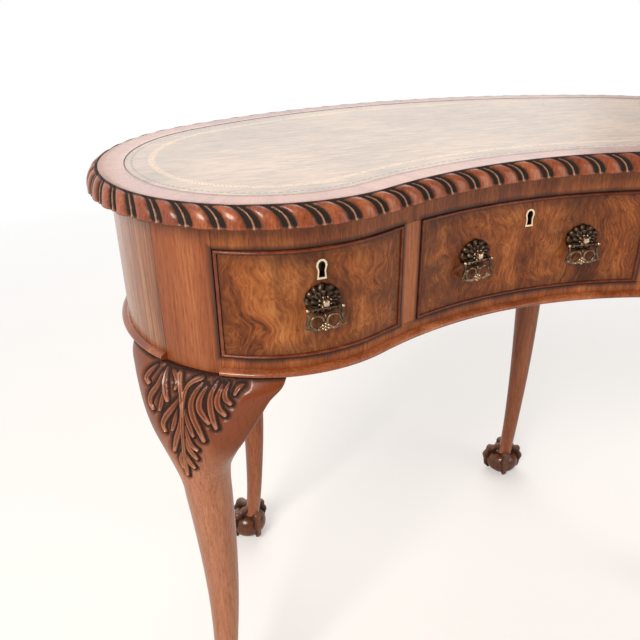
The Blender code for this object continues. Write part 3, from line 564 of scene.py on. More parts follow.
ink = noise(pushed, 10.0, 4.0, 0.55, 0.9)
line = remap(abs(ink - 0.5), 0.0, 0.012, 0.7, 0.0)
tone = blend(line * remap(slow, 0.5, 0.6), tone, "#1d0e08")
cells = node(tree, "ShaderNodeTexVoronoi", {"Vector": pushed, "Scale": 120.0}, feature="F1")
eyes = remap(cells["Distance"], 0.10, 0.36, 0.75, 0.0) * remap(ink, 0.55, 0.66)
tone = blend(eyes, tone, "#2a130a")
# Painted shade with old wax darkens the veneer towards its edges, beside the cockbead.
edge = beside_drawers(place) * -1.0
cloudy = remap((swirl - 0.5) * (-26.0 * MM) + edge, 0.0, 15.0 * MM, 0.5, 0.0)
wax_and_shade = maths("MAXIMUM", cloudy, remap(edge, 0.0, 2.4 * MM, 0.75, 0.0))
tone = blend(wax_and_shade, tone, "#2e150a")
# Painted shade: the walls of the keyhole are painted dark, the outer edges less so, and the back is
# plain wood.
facing = parts_of(place["Normal"])["Y"]
inside = blend(remap(edge, 2.0 * MM, 5.0 * MM), "#6b4527", "#22120a")
bare = blend(remap(facing, 0.4, 0.6), inside, "#7d5c3c")
tone = blend(remap(facing, -0.6, -0.5), tone, bare)
fill(shader, {"Base Color": tone, "Roughness": 0.3, "Specular IOR Level": 0.2})
fill(shader, {"Coat Weight": 0.12, "Coat Roughness": 0.12})
print("burr walnut nodes:", len(tree.nodes))

# %% [markdown]
# ## Growing pieces with Geometry Nodes
#
# A moulding follows a path and repeats a rule along it, which is what Geometry Nodes are good at. Each
# tree below has named inputs for its sizes. The helper puts a tree on a path, sets the inputs, lets
# Blender work it out, and keeps only the plain mesh that comes out.


# %% Helpers for Geometry Nodes
def new_tree(name, sizes):
    """A geometry tree with a named input for each size and for the material."""
    tree = bpy.data.node_groups.new(name, "GeometryNodeTree")
    ports = tree.interface
    ports.new_socket("Geometry", in_out="INPUT", socket_type="NodeSocketGeometry")
    for label, value in sizes.items():
        kind = "NodeSocketInt" if isinstance(value, int) else "NodeSocketFloat"
        ports.new_socket(label, in_out="INPUT", socket_type=kind).default_value = value
    ports.new_socket("Material", in_out="INPUT", socket_type="NodeSocketMaterial")
    ports.new_socket("Geometry", in_out="OUTPUT", socket_type="NodeSocketGeometry")
    return tree, node(tree, "NodeGroupInput")


def capture(geometry, name, value):
    """Notes a value at each point. Gives the geometry and the noted value."""
    made = add_node(geometry.tree, "GeometryNodeCaptureAttribute")
    made.capture_items.new("FLOAT", name)
    fill(made, {"Geometry": geometry, name: value})
    return Flow(made), Flow(made, name)


def circle_profile(tree, count, across, up):
    """A closed section of so many points, moved to their places across and up."""
    ring = node(tree, "GeometryNodeCurvePrimitiveCircle", {"Resolution": count, "Radius": 0.01})
    place = node(tree, "ShaderNodeCombineXYZ", {"X": across, "Y": up})
    return node(tree, "GeometryNodeSetPosition", {"Geometry": ring["Curve"], "Position": place})


def finish_tree(tree, given, geometry):
    """Ends a tree in smooth real geometry with its material."""
    smooth = node(tree, "GeometryNodeSetShadeSmooth", {"Geometry": geometry})
    real = node(tree, "GeometryNodeRealizeInstances", {"Geometry": smooth})
    painted = {"Geometry": real, "Material": given["Material"]}
    add_node(tree, "NodeGroupOutput", {0: node(tree, "GeometryNodeSetMaterial", painted)})


def grow(name, places, closed, tree, values, material):
    """The plain mesh that a tree makes along a path through places."""
    curve = bpy.data.curves.new(name + "_path", "CURVE")
    curve.dimensions = "3D"
    spline = curve.splines.new("POLY")
    spline.points.add(len(places) - 1)
    for point, place in zip(spline.points, places):
        point.co = (*place, 1.0)
    spline.use_cyclic_u = closed
    source = bpy.data.objects.new(name + "_path", curve)
    bpy.context.scene.collection.objects.link(source)
    modifier = source.modifiers.new(tree.name, "NODES")
    modifier.node_group = tree
    values = {**values, "Material": material}
    for item in tree.interface.items_tree:
        if item.in_out == "INPUT" and item.name in values:
            modifier[item.identifier] = values[item.name]
    graph = bpy.context.evaluated_depsgraph_get()
    graph.update()
    mesh = bpy.data.meshes.new_from_object(source.evaluated_get(graph))
    mesh.name = name
    bpy.data.objects.remove(source)
    print(name, "has", len(mesh.polygons), "faces")
    return mesh


print("Geometry Nodes helpers ready")

# %% [markdown]
# ## The gadrooned edge
#
# The edge of the top is carved with gadroons: leaning convex lobes, each a glossy orange brown, with a
# thin fillet between dark hollows. A carver marks the edge off in equal steps and cuts the same lobe in
# each. The tree does the same. It sweeps a quarter ellipse round the desk, knows how far along the edge
# each point lies, turns that into a phase from one fillet to the next, and looks the depth up on a
# curve drawn like the section of a lobe. The lean shifts the phase towards the top of the moulding.

# %% Carve the gadroons
DESK_HEIGHT = 762.0 * MM
GADROON_REACH = 13.2 * MM
GADROON_PITCH = 30.3 * MM
PROFILE_POINTS = 22
# Each curve runs from 0 to 1: the first and the fourth along a lobe, the others down the moulding.
LOBE_SECTION = (
    (0.0, 0.66), (0.026, 0.6), (0.046, 0.22), (0.062, 0.32), (0.085, 0.3), (0.1, 0.1), (0.165, 0.05),
    (0.205, 0.34), (0.27, 0.74), (0.38, 0.96), (0.48, 1.0), (0.6, 0.93), (0.7, 0.72), (0.78, 0.43),
    (0.85, 0.14), (0.93, 0.05), (0.955, 0.22), (0.976, 0.6), (1.0, 0.66),
)
FADING = ((0.0, 0.25), (0.12, 0.75), (0.3, 1.0), (0.86, 1.0), (0.95, 0.55), (1.0, 0.42))
QUIRK_SHADE_AND_DIRT = ((0.0, 1.0), (0.09, 1.0), (0.20, 0.0), (0.90, 0.0), (1.0, 0.5))
LIT_AND_RUBBED_LINES = (
    (0.0, 1.0), (0.028, 1.0), (0.040, 0.0), (0.058, 0.0), (0.066, 0.7), (0.082, 0.7), (0.095, 0.0),
    (0.960, 0.0), (0.972, 1.0), (1.0, 1.0),
)

stations = np.linspace(0, 2 * HALF_LINE, 1201)[:-1]
edge = rim(stations, GADROON_REACH)
edge_length = float(np.linalg.norm(np.roll(edge, -1, 0) - edge, axis=1).sum())
lobes = round(edge_length / GADROON_PITCH)
print("edge in mm:", round(edge_length / MM, 1), "lobes:", lobes)

sizes = {"Lobes": 10, "Steps per lobe": 38, "Pitch": 0.03, "First ridge": 0.0, "Lean": 0.6}
tree, given = new_tree("gadroon_moulding", {**sizes, "Reach": 0.01, "Height": 0.02, "Depth": 0.003})


def looked_up(value, curve):
    """What a drawn curve says for a value."""
    return node(tree, "ShaderNodeFloatCurve", {"Value": value}, curve=curve)


def at_corner(value):
    """1 at the inner corner of the section, which lies past 1, and 0 on its face."""
    given = {"A": value, "B": 1.01}
    return node(tree, "FunctionNodeCompare", given, data_type="FLOAT", operation="GREATER_THAN")


count = given["Lobes"] * given["Steps per lobe"]
even = node(tree, "GeometryNodeResampleCurve", {"Curve": given["Geometry"], "Count": count})
upright = node(tree, "GeometryNodeSetCurveNormal", {"Curve": even}, mode="Z_UP")
marked, travel = capture(upright, "travel", node(tree, "GeometryNodeSplineParameter")["Length"])

# The section is a quarter ellipse, and its last point is the inner corner.
drop = node(tree, "GeometryNodeInputIndex") / (PROFILE_POINTS - 2.0)
angle = drop * (math.pi / 2)
section = []
for size, curved in (("Reach", maths("SINE", angle)), ("Height", maths("COSINE", angle))):
    choice = {"Switch": at_corner(drop), "False": (1.0 - curved) * given[size], "True": given[size]}
    section.append(node(tree, "GeometryNodeSwitch", choice, input_type="FLOAT"))
profile = circle_profile(tree, PROFILE_POINTS, section[0] * -1.0, section[1])
profile, fallen = capture(profile, "drop", drop)
swept = node(tree, "GeometryNodeCurveToMesh", {"Curve": marked, "Profile Curve": profile})

leaning = (1.0 - maths("SINE", fallen * (math.pi / 2))) * given["Lean"]
phase = maths("FRACT", (travel - given["First ridge"]) / given["Pitch"] + leaning)
relief = (looked_up(phase, LOBE_SECTION) - 1.0) * looked_up(fallen, FADING)
cut = relief * given["Depth"] * (1.0 - at_corner(fallen))
shift = {0: node(tree, "GeometryNodeInputNormal"), "Scale": cut}
shift = node(tree, "ShaderNodeVectorMath", shift, operation="SCALE")
carved = node(tree, "GeometryNodeSetPosition", {"Geometry": swept, "Offset": shift})
# Painted shade with patina: hollows and lobe flanks darken with the cut, and the quirk at the top and
# the foot of the moulding are dark. The fillets get painted highlights with rubbed wear.
quirk = looked_up(fallen, QUIRK_SHADE_AND_DIRT)
dark = maths("MAXIMUM", relief * -1.45, quirk)
bright = maths("SUBTRACT", looked_up(phase, LIT_AND_RUBBED_LINES), quirk, use_clamp=True)
for name, value in (("hollow", dark), ("rib", bright)):
    noted = {"Geometry": carved, "Name": name, "Value": value}
    carved = node(tree, "GeometryNodeStoreNamedAttribute", noted, data_type="FLOAT", domain="POINT")
finish_tree(tree, given, carved)

sizes = {"Lobes": lobes, "Pitch": edge_length / lobes, "First ridge": 594.6 * MM}
sizes |= {"Reach": GADROON_REACH - 0.3 * MM, "Height": 19.1 * MM, "Depth": 3.0 * MM}
mesh = grow("gadroon_moulding", raised(edge, DESK_HEIGHT), True, tree, sizes, carved_walnut)
replaced = ("gadroon_left", "gadroon_front", "gadroon_right")
add_piece("gadroon_moulding", mesh, carved_walnut, replaced)

# %% [markdown]
# ## The crossbanded border
#
# Round the leather runs a border of walnut veneer whose grain points outwards, cut from the log in
# short lengths and jointed end to end. The polish on it is thick and glassy. The border is a closed
# band of its own, and its UV map follows the plan: along the line, and in from the edge. The veneer is
# then drawn in those two directions, with a new tone for each length of about 150 mm.

# %% Lay the crossband
BORDER_WIDTH = 26.9 * MM
VENEER_LENGTH = 152.0 * MM
around_desk = np.linspace(0, 2 * HALF_LINE, 521)[:-1]
# Sections are given as mm outward from an edge and mm above the top of the desk.
BAND_SECTION = (
    (0.0, -1.5), (0.0, -0.5), (-0.25, -0.12), (-0.8, 0.0), (-7.0, 0.0), (-13.4, 0.0), (-20.0, 0.0),
    (-26.2, 0.0), (-26.75, -0.15), (-26.9, -0.45), (-26.9, -1.5),
)


def laid_round(section, edge, axis):
    """Points of a section right round the plan, and how far along and in from the edge each lies."""
    points, chart = [], []
    for outward, height in np.array(section) * MM:
        points.append(raised(rim(around_desk, edge + outward), DESK_HEIGHT + height))
        chart.append(np.column_stack([around_desk, np.full(len(around_desk), -outward)]))
    return np.stack(points, axis), np.stack(chart, axis).reshape(-1, 2)


def wrap_uv(mesh, chart):
    """Writes a UV map whose first direction runs round the piece, with no jump where it closes."""
    layer = mesh.uv_layers.new(name="surface")
    corners = np.empty(len(mesh.loops), int)
    mesh.loops.foreach_get("vertex_index", corners)
    layer.data.foreach_set("uv", chart.astype(np.float32)[corners].ravel())
    for face in mesh.polygons:
        spots = [layer.data[k].uv for k in face.loop_indices]
        if max(spot[0] for spot in spots) - min(spot[0] for spot in spots) > HALF_LINE:
            for spot in spots:
                if spot[0] < HALF_LINE:
                    spot[0] += 2 * HALF_LINE


band, chart = laid_round(BAND_SECTION, 0.0, 1)
mesh = make_mesh("crossband", [skin(band, along=True)])
wrap_uv(mesh, chart)

crossband_veneer, shader, place = new_material("crossbanded_walnut_veneer")
chart = node(place.tree, "ShaderNodeUVMap", uv_map="surface")
spot = parts_of(chart)
along, inward = spot["X"] / VENEER_LENGTH, spot["Y"]
number = {"W": maths("FLOOR", along)}
chance = node(place.tree, "ShaderNodeTexWhiteNoise", number, noise_dimensions="1D")["Value"]
grain = stretched(chart, (1.0, 0.06, 1.0))
figure = between(0.4, noise(grain, 60.0, 3.0, warp=0.5), noise(grain, 900.0, 3.0, 0.6))
tone = shade(chance * 0.16 + figure, (0.36, "#7c3e20"), (0.55, "#9b5937"), (0.76, "#b37452"))
joint = remap(abs(maths("FRACT", along) - 0.5), 0.4965, 0.4985, 0.0, 0.45)
half = BORDER_WIDTH / 2
rims = remap(abs(inward - half), half - 1.1 * MM, half - 0.3 * MM, 0.0, 0.9)
tone = blend(maths("MAXIMUM", joint, rims), tone, "#2b130d")
fill(shader, {"Base Color": tone, "Roughness": 0.22, "Specular IOR Level": 0.3})
fill(shader, {"Coat Weight": 0.35, "Coat Roughness": 0.26})
add_piece("crossband", mesh, crossband_veneer, ("crossband_border",))
print("crossband faces:", len(mesh.polygons))

# %% [markdown]
# ## Tooled leather
#
# The writing surface is one skin of hide, dyed a soft grey green that age has turned towards beige. The
# bookbinder's tools run round it: a line of small blind stamps near the edge, and further in a band of
# gilt ornament, rubbed so that it shows in broken dashes. Both follow the edge, so the leather carries
# a UV map too, along the line and in from the edge. The grain is fine creases, drawn a little coarser
# than the real 0.5 mm.

# %% Lay the leather
LEATHER_EDGE = -BORDER_WIDTH - 0.3 * MM
LEATHER_SECTION = (
    (0.0, -1.9), (0.0, -0.75), (-0.3, -0.5), (-0.9, -0.4), (-4.0, -0.38), (-10.0, -0.36), (-18.0, -0.36),
    (-24.0, -0.36), (-30.0, -0.36), (-36.0, -0.36), (-44.0, -0.36),
)
STAMP_PITCH, STAMP_LINE = 8.3 * MM, 7.6 * MM
GILT_PITCH, GILT_LINE = 6.2 * MM, 28.0 * MM

hide, chart = laid_round(LEATHER_SECTION, LEATHER_EDGE, 0)
mesh = make_mesh("leather", [skin(hide)], smooth_angle=50.0)
wrap_uv(mesh, chart)

tooled_leather, shader, place = new_material("tooled_hide_leather")
spot = parts_of(node(place.tree, "ShaderNodeUVMap", uv_map="surface"))
along, inward = spot["X"], spot["Y"]
creases = noise(stretched(place, (0.16, 1.0, 1.0), (0.0, 0.0, 0.12)), 190.0, 5.0, 0.75, 0.7)
mottled = between(0.62, noise(place, 7.0, 4.0, 0.6), creases)
tone = shade(mottled, (0.36, "#7d6a55"), (0.48, "#a28770"), (0.60, "#c2a488"))
# Each blind stamp is a short bow, sunk and dark, and a dark line follows the edge.
beat = maths("FRACT", along / STAMP_PITCH) - 0.5
bow = abs(maths("POWER", beat, 2.0) * (9.0 * MM) + inward - STAMP_LINE)
stamp = remap(bow, 0.7 * MM, 1.3 * MM, 1.0, 0.0) * remap(abs(beat), 0.30, 0.36, 1.0, 0.0)
rim_line = remap(inward, 0.4 * MM, 0.9 * MM, 0.9, 0.0)
tone = blend(maths("MAXIMUM", stamp * 0.85, rim_line), tone, "#3d3329")
# The gilt band is slanting strokes, rubbed away here and there.
strokes = maths("SINE", (inward * 160.0 + along / GILT_PITCH) * (2 * math.pi))
gilt = remap(strokes * 0.12 + noise(place, 240.0, 4.0, 0.7), 0.42, 0.60, 0.0, 0.85)
band_on = remap(abs(inward - GILT_LINE), 3.0 * MM, 4.0 * MM, 1.0, 0.0)
tone = blend(gilt * band_on, tone, "#dfb98c")
relief = bumps(stamp * -1.2 + creases, 0.3, 0.25 * MM)
fill(shader, {"Base Color": tone, "Roughness": 0.42, "Normal": relief})
fill(shader, {"Coat Weight": 0.5, "Coat Roughness": 0.3})
add_piece("leather", mesh, tooled_leather, ("leather_inset",))
print("leather faces:", len(mesh.polygons))

# %% [markdown]
# ## Carved cabriole legs
#
# Each leg is one timber: a square post that closes the corner of the carcase, a broad knee with two
# ears, an S shaped shank and a foot. The knee carries acanthus carving, leaves that fan down from the
# frieze on both sides of a stem. A sculptor would model this by hand. Here the leg is a fine skin, and
# every point of the knee is pushed out or in by a relief that is worked out from the leaves: each leaf
# is a stroke with a bend, a width, a bright ridge and a dark flute beside it, and between the leaves
# the ground is cut back. The relief is kept as attributes, so the finish can leave dark patina with
# painted shade in the hollows, paint a shadow under the frieze, and make the ridges bright with rubbed
# wear and painted highlights. The back legs get a darker copy of the leg walnut, as painted shade.

# %% Shape of the leg
FRIEZE_INSET = 9.0 * MM
FRIEZE_TOP = DESK_HEIGHT - 19.8 * MM
FRIEZE_BOTTOM = FRIEZE_TOP - 155.5 * MM
KNEE_TOP = FRIEZE_BOTTOM - 0.3 * MM
FRONT_POST = (float(ARCS[2][0]) + 33.3 * MM, float(ARCS[2][0]) + 104.3 * MM)
BACK_POST = (float(ARCS[1][0]) - 98.2 * MM, float(ARCS[1][0]) - 28.2 * MM)
# Knee rings: height share, width share, ridge, proud ears, depth, and how far the ring is eared.
KNEE_ROWS = np.array(
    [
        (1.000, 1.00, 0.24, 0.40, 1.00, 1.0),
        (0.985, 0.96, 0.52, 0.78, 0.95, 1.0),
        (0.963, 0.84, 0.76, 1.00, 0.88, 1.0),
        (0.937, 0.75, 0.90, 1.00, 0.80, 1.0),
        (0.911, 0.67, 0.97, 0.92, 0.74, 0.9),
        (0.886, 0.59, 1.00, 0.84, 0.68, 0.8),
        (0.860, 0.50, 1.00, 0.78, 0.62, 0.6),
        (0.835, 0.41, 0.99, 0.76, 0.58, 0.3),
        (0.808, 0.33, 0.94, 0.76, 0.56, 0.1),
    ]
)
# Shank rings: height share, reach of the foot, and how far the leg is rounder than its ankle.
SHANK_ROWS = np.array(
    [
        (0.770, -0.08, 1.00), (0.716, -0.16, 0.89), (0.600, -0.30, 0.70), (0.430, -0.33, 0.39),
        (0.290, -0.13, 0.15), (0.190, 0.10, 0.03), (0.120, 0.36, 0.00), (0.094, 0.52, 0.10),
    ]
)
EAR_PROUD = 16.0 * MM
KNEE_RIDGE = 28.5 * MM
KNEE_DEPTH = 50.0 * MM
SWELL_WIDTH = 210.0 * MM
FOOT_REACH = 30.0 * MM
ANKLE_RADIUS = 12.5 * MM
FACE_POINTS = 272
REAR_POINTS = 44

# Evenly spread across the face of the knee, with some closer points where the ears turn back
spread = np.linspace(0, 1, FACE_POINTS)
face_angles = 0.7 * np.arccos(1 - 2 * spread) + 0.3 * math.pi * spread
rear_angles = math.pi + np.linspace(0, math.pi, REAR_POINTS + 2)[1:-1]
ANGLES = np.concatenate([face_angles, rear_angles])


def frame_at(station):
    """A point of the plan line, the direction along the line there, and the outward one."""
    point, normal = plan(station)
    return point, np.array([-normal[1], normal[0]]), normal


def leg_place(centre, along, out, bend):
    """Places along the frieze and outward from it, which follow its curve as far as bend says."""
    point, line, normal = frame_at(centre)
    straight = point + line * along[:, None] + normal * (out - FRIEZE_INSET)[:, None]
    curved = rim(centre + along, out - FRIEZE_INSET)
    return straight + (curved - straight) * bend


def knee_ring(centre, width_whole, row):
    """One ring of the knee, and how far along the frieze its points lie."""
    _, width, ridge, proud, depth, ears = row
    front, back, ear = KNEE_RIDGE * ridge, -KNEE_DEPTH * depth, EAR_PROUD * proud
    along = -width_whole / 2 * width * np.cos(ANGLES)
    lift = np.sin(ANGLES)
    plain = (front + back) / 2 + (front - back) / 2 * lift
    swell = np.cos(math.pi * np.minimum(0.5, np.abs(along) / SWELL_WIDTH))
    face = ear * np.abs(lift) ** 0.3 + (front - ear) * swell
    eared = np.where(lift >= 0, face, back * np.abs(lift) ** 0.5)
    return leg_place(centre, along, plain + (eared - plain) * ears, ears), along


def shank_ring(centre, reach, radius):
    """One round ring of the shank, and how far along the frieze its points lie."""
    along = -radius * np.cos(ANGLES)
    return leg_place(centre, along, FOOT_REACH * reach + radius * np.sin(ANGLES), 0.0), along


def smooth_rows(heights, rows, wanted):
    """Rows between the given rows on a smooth curve, for heights that fall."""
    heights, wanted = -np.asarray(heights), -np.asarray(wanted)
    rows = np.asarray(rows)
    slope = np.gradient(rows, heights, axis=0)
    k = np.clip(np.searchsorted(heights, wanted, side="right") - 1, 0, len(heights) - 2)
    gap = heights[k + 1] - heights[k]
    t = (wanted - heights[k]) / gap
    shape = (-1,) + (1,) * (rows.ndim - 1)
    t, gap = t.reshape(shape), gap.reshape(shape)
    return (
        (2 * t**3 - 3 * t**2 + 1) * rows[k]
        + (t**3 - 2 * t**2 + t) * gap * slope[k]
        + (3 * t**2 - 2 * t**3) * rows[k + 1]
        + (t**3 - t**2) * gap * slope[k + 1]
    )


print("leg skin:", len(ANGLES), "points round")

# %% [markdown]
# The leaves are drawn on the knee in millimetres: how far along the frieze from the stem, and how far
# below the top of the knee. Each is a stroke through a few points with a width. Nine hang on one side
# of the stem and eleven on the other, the outer ones short and curled, the inner ones long, and small
# ones close the point at the bottom.

# %% Draw the acanthus leaves
STEMS = [
    ([(-7, 3), (-2, 13), (2, 25), (3, 40), (2.5, 60), (2, 80), (1.2, 100), (1, 112)], 2.7),
    ([(19, 2.5), (10, 7), (5, 14), (4, 25), (3.5, 41)], 2.4),
]
LEAVES = [
    ([(-40, 5), (-46.5, 13), (-49.5, 20), (-44, 23)], 3.4),
    ([(-28, 8), (-31, 21), (-40, 35), (-41, 44), (-36.5, 48.5)], 3.7),
    ([(-22, 24), (-22.5, 34), (-25.5, 45.5)], 2.6),
    ([(-25, 3), (-22, 14), (-19, 22), (-15, 30.5)], 3.9),
    ([(-17.5, 3), (-10, 6.5), (-6.8, 11), (-7, 17)], 2.4),
    ([(-2, 26), (-9, 37), (-18, 50), (-22, 59.5), (-20, 67)], 3.8),
    ([(-3.5, 39), (-6, 50), (-9.5, 62)], 2.8),
    ([(0.5, 45), (-1.5, 58), (-6.5, 73), (-11, 88)], 3.5),
    ([(0, 84), (-4, 96), (-2.5, 107)], 2.6),
    ([(20.5, 7), (14.5, 16.5), (12, 27), (14.5, 40), (19.5, 52), (24.5, 65)], 3.9),
    ([(26, 9), (21, 19), (20.5, 29), (25, 37), (30, 43.5)], 3.9),
    ([(36, 4), (31.5, 15), (31.5, 25), (33.5, 37), (37, 48.5)], 3.7),
    ([(41.5, 6), (38, 17.5), (39.5, 26.5), (45.5, 33.5)], 3.6),
    ([(48, 4), (45, 11.5), (46, 17.5), (51, 21.5)], 3.0),
    ([(63, 4.5), (57.5, 7), (54.5, 12.5)], 2.6),
    ([(6, 36), (9, 47), (14, 61.5)], 2.8),
    ([(6, 53), (8.5, 67), (12, 74.5), (17, 78.5)], 2.6),
    ([(5.5, 68), (8.5, 80), (15.5, 90)], 2.9),
    ([(4, 89), (7.5, 98), (11.5, 103)], 2.7),
    ([(2.5, 93), (1, 106), (1, 116)], 3.0),
]


def bend_line(points, count=26):
    """A smooth line through a few points, as many points of it evenly spread."""
    points = np.array([points[0], *points, points[-1]], float)
    found = []
    for k in range(1, len(points) - 2):
        a, b, c, d = points[k - 1 : k + 3]
        for t in np.linspace(0, 1, 9)[:-1]:
            curve = (2 * a - 5 * b + 4 * c - d) * t**2 + (3 * b - a - 3 * c + d) * t**3
            found.append(0.5 * (2 * b + (c - a) * t + curve))
    found = np.array([*found, points[-1]])
    length = np.concatenate([[0], np.cumsum(np.linalg.norm(np.diff(found, axis=0), axis=1))])
    even = np.linspace(0, length[-1], count)
    return np.column_stack([np.interp(even, length, found[:, k]) for k in (0, 1)])


def stroke_distance(spots, line):
    """Distance from each spot to a line, how far along it that is, and on which side."""
    best = np.full(len(spots), 1e9)
    share = np.zeros(len(spots))
    side = np.ones(len(spots))
    last = len(line) - 1
    for k in range(last):
        start, step = line[k], line[k + 1] - line[k]
        t = unit(((spots - start) @ step) / (step @ step))
        gap = spots - start - t[:, None] * step
        distance = np.hypot(gap[:, 0], gap[:, 1])
        closer = distance < best
        best = np.where(closer, distance, best)
        share = np.where(closer, (k + t) / last, share)
        side = np.where(closer, np.sign(step[0] * gap[:, 1] - step[1] * gap[:, 0]), side)
    return best, share, side


def leaf_section(distance, share, side, width):
    """Crown in mm, painted highlight, painted shade and distance outside of a leaf, with ridge, flute
    and lip.
    """
    reach = width * (0.36 + 0.60 * np.sin(math.pi * unit(0.05 + 0.82 * share)))
    dome = np.sqrt(unit(1 - (distance / reach) ** 2))
    across = distance / reach * side
    ridge, flute, lip = bell(across, 0.42, 0.26), bell(across, -0.22, 0.20), bell(across, -0.68, 0.17)
    tip = unit((share - 0.80) / 0.15)
    crown = 3.3 * dome**0.6 * (0.52 + 0.48 * ridge + 0.22 * lip) * (0.50 + 0.50 * unit(share * 2.5))
    # Painted highlights, partly rubbed wear, on the ridge, lip and curled tip; painted shade in the
    # flute and where the leaf falls away.
    bright = np.maximum(np.maximum(ridge**2, 0.6 * lip) * (0.30 + 0.70 * share), 0.75 * tip * dome)
    return crown, bright, flute * 0.75 * (1 - tip) + (1 - dome) * 0.7, distance - reach


def stem_section(distance, share, side, width):
    """The same for a stem, which has two ridges with a groove between them."""
    reach = width * (1.05 - 0.40 * share)
    across = distance / reach
    ridges = bell(across, 0.55, 0.24)
    crown = 3.4 * np.sqrt(unit(1 - across**2)) ** 0.6 * (0.50 + 0.50 * ridges)
    return crown, ridges, bell(across, 0, 0.2), distance - reach


def knee_relief(along, fallen):
    """Relief in mm, patina with painted shade, and painted highlight at places in mm along the knee and
    below its top.
    """
    spots = np.column_stack([along, fallen])
    height, rib, flute = np.zeros((3, len(spots)))
    outside = np.full(len(spots), 1e9)
    strokes = [(leaf_section, *leaf) for leaf in LEAVES] + [(stem_section, *stem) for stem in STEMS]
    for section, points, width in strokes:
        crown, bright, dark, beyond = section(*stroke_distance(spots, bend_line(points)), width)
        higher = crown > height
        rib, flute = np.where(higher, bright, rib), np.where(higher, dark, flute)
        height, outside = np.maximum(height, crown), np.minimum(outside, beyond)
    zone = 1 - unit((outside - 1.2) / 5.6)
    zone = zone * zone * (3 - 2 * zone)
    # Painted shade with patina on the cut-back ground and in the flutes, and a painted shadow in a band
    # under the frieze.
    ground = zone * unit(1.3 - height / 1.5)
    ledge = unit(1 - (fallen - 1.2) / 2.6) * 0.85
    hollow = unit(np.maximum(np.maximum(ground, 0.75 * flute), ledge))
    return height - 2.3 * zone, hollow, unit(rib * (height > 0.6))


def post_block(post, depth):
    """The block of a post down to the knee, with a square back if it is given no depth."""
    first, last = post
    face = rim(np.linspace(first + 0.3 * MM, last, 15), -FRIEZE_INSET)
    normal_first, normal_last = plan(first)[1], plan(last)[1]
    if depth is None:
        back = face[-1][1] + 62.0 * MM
        inner = face[0] - normal_first * (back - face[0][1]) / -normal_first[1]
        corner = np.array([face[-1][0], back])
    else:
        inner, corner = face[0] - depth * normal_first, face[-1] - depth * normal_last
    outline = np.vstack([face, corner, inner])
    levels = (FRIEZE_TOP, FRIEZE_TOP - 0.5 * MM, KNEE_TOP + 0.8 * MM, KNEE_TOP + 0.3 * MM)
    return np.stack([raised(outline, level) for level in levels])


def leg_shape(centre, post, depth, knee_centre, knee_width, thickest):
    """The skin of a leg and the block of its post, with the hollows and ribs of the carving."""
    rings = [knee_ring(knee_centre, knee_width, row) for row in KNEE_ROWS]
    for _, reach, swell in SHANK_ROWS:
        rings.append(shank_ring(centre, reach, ANKLE_RADIUS + (thickest - ANKLE_RADIUS) * swell))
    heights = KNEE_TOP * np.concatenate([KNEE_ROWS[:, 0], SHANK_ROWS[:, 0]])
    carved_levels = np.linspace(KNEE_TOP, KNEE_TOP - 126.0 * MM, 181)
    wanted = np.concatenate([carved_levels, np.linspace(KNEE_TOP - 134.0 * MM, heights[-1], 44)])
    flat, along = (smooth_rows(heights, rows, wanted) for rows in zip(*rings))
    step = np.roll(flat, -1, 1) - np.roll(flat, 1, 1)
    out = np.stack([step[..., 1], -step[..., 0]], -1)
    out /= np.linalg.norm(out, axis=-1, keepdims=True)
    out *= np.sign(((flat - flat.mean(1, keepdims=True)) * out).sum(-1).mean())
    # The carving is drawn for a knee 210 mm wide and shrinks with a smaller one.
    scale = knee_width / (210.0 * MM)
    fallen = (KNEE_TOP - wanted)[:, None] * np.ones(len(ANGLES)) / MM
    marks = knee_relief((along / MM / scale).ravel(), (fallen / min(1.0, scale + 0.1)).ravel())
    carved = ((np.sin(ANGLES) > 0.04)[None, :] & (fallen < 128)).ravel()
    relief, hollow, rib = (mark * carved for mark in marks)
    flat = flat + out * (relief.reshape(along.shape) * MM)[..., None]
    block = post_block(post, depth)
    plain = np.zeros(block.shape[0] * block.shape[1])
    parts = [skin(raised(flat, wanted[:, None, None])), skin(block)]
    return parts, [hollow, plain], [rib, plain]


def make_leg(kind, shape, wood):
    """The left and the right leg of one shape, each a post and a carved shank without its foot."""
    parts, hollow, rib = shape
    for side, word in ((1, "left"), (-1, "right")):
        turned = [(points * (side, 1, 1), faces) for points, faces in parts]
        mesh = make_mesh(f"carved_leg_{kind}_{word}", turned, 45.0, hollow, rib)
        add_piece(mesh.name, mesh, wood, (f"leg_{kind}_{word}",))
        mesh.materials.append(polished_post)
        for face in mesh.polygons[len(parts[0][1]) :]:
            face.material_index = 1
    print(f"faces of a {kind} leg:", len(mesh.polygons))


front_centre = sum(FRONT_POST) / 2
back_centre = sum(BACK_POST) / 2
front_knee = (front_centre - 2.0 * MM, 210.0 * MM, 27.0 * MM)
back_knee = (back_centre, 160.0 * MM, 22.5 * MM)
make_leg("front", leg_shape(front_centre, FRONT_POST, None, *front_knee), leg_walnut)
make_leg("back", leg_shape(back_centre, BACK_POST, 45.0 * MM, *back_knee), back_leg_shaded_walnut)

# %% [markdown]
# ## Claw and ball feet
#
# Each foot is a bird's claw that grips a ball. Four toes come down from the ankle, swell at their
# knuckles and end in a talon under the ball. The ball is a skin of rings, and each toe is a tube whose
# radius changes along a bent path. In the old finish the hollows beside the toes are almost black, and
# painted shade darkens them further; the crest of each toe carries a painted highlight with rubbed wear.

# %% Carve the feet
BALL_RADIUS = 32.5 * MM
BALL_HEIGHT = 50.0 * MM
BALL_RINGS = 15
# Each row of a toe: reach from the middle of the foot, height, and radius.
TOE_ROWS = [
    (7, 72, 6.2), (11, 65, 8.6), (17.5, 59, 5.8), (25, 53, 10.4), (29.5, 44, 5.6), (31.5, 34, 9.6),
    (32.0, 23, 5.4), (30.5, 12, 5.6), (25.5, 2.8, 2.2),
]


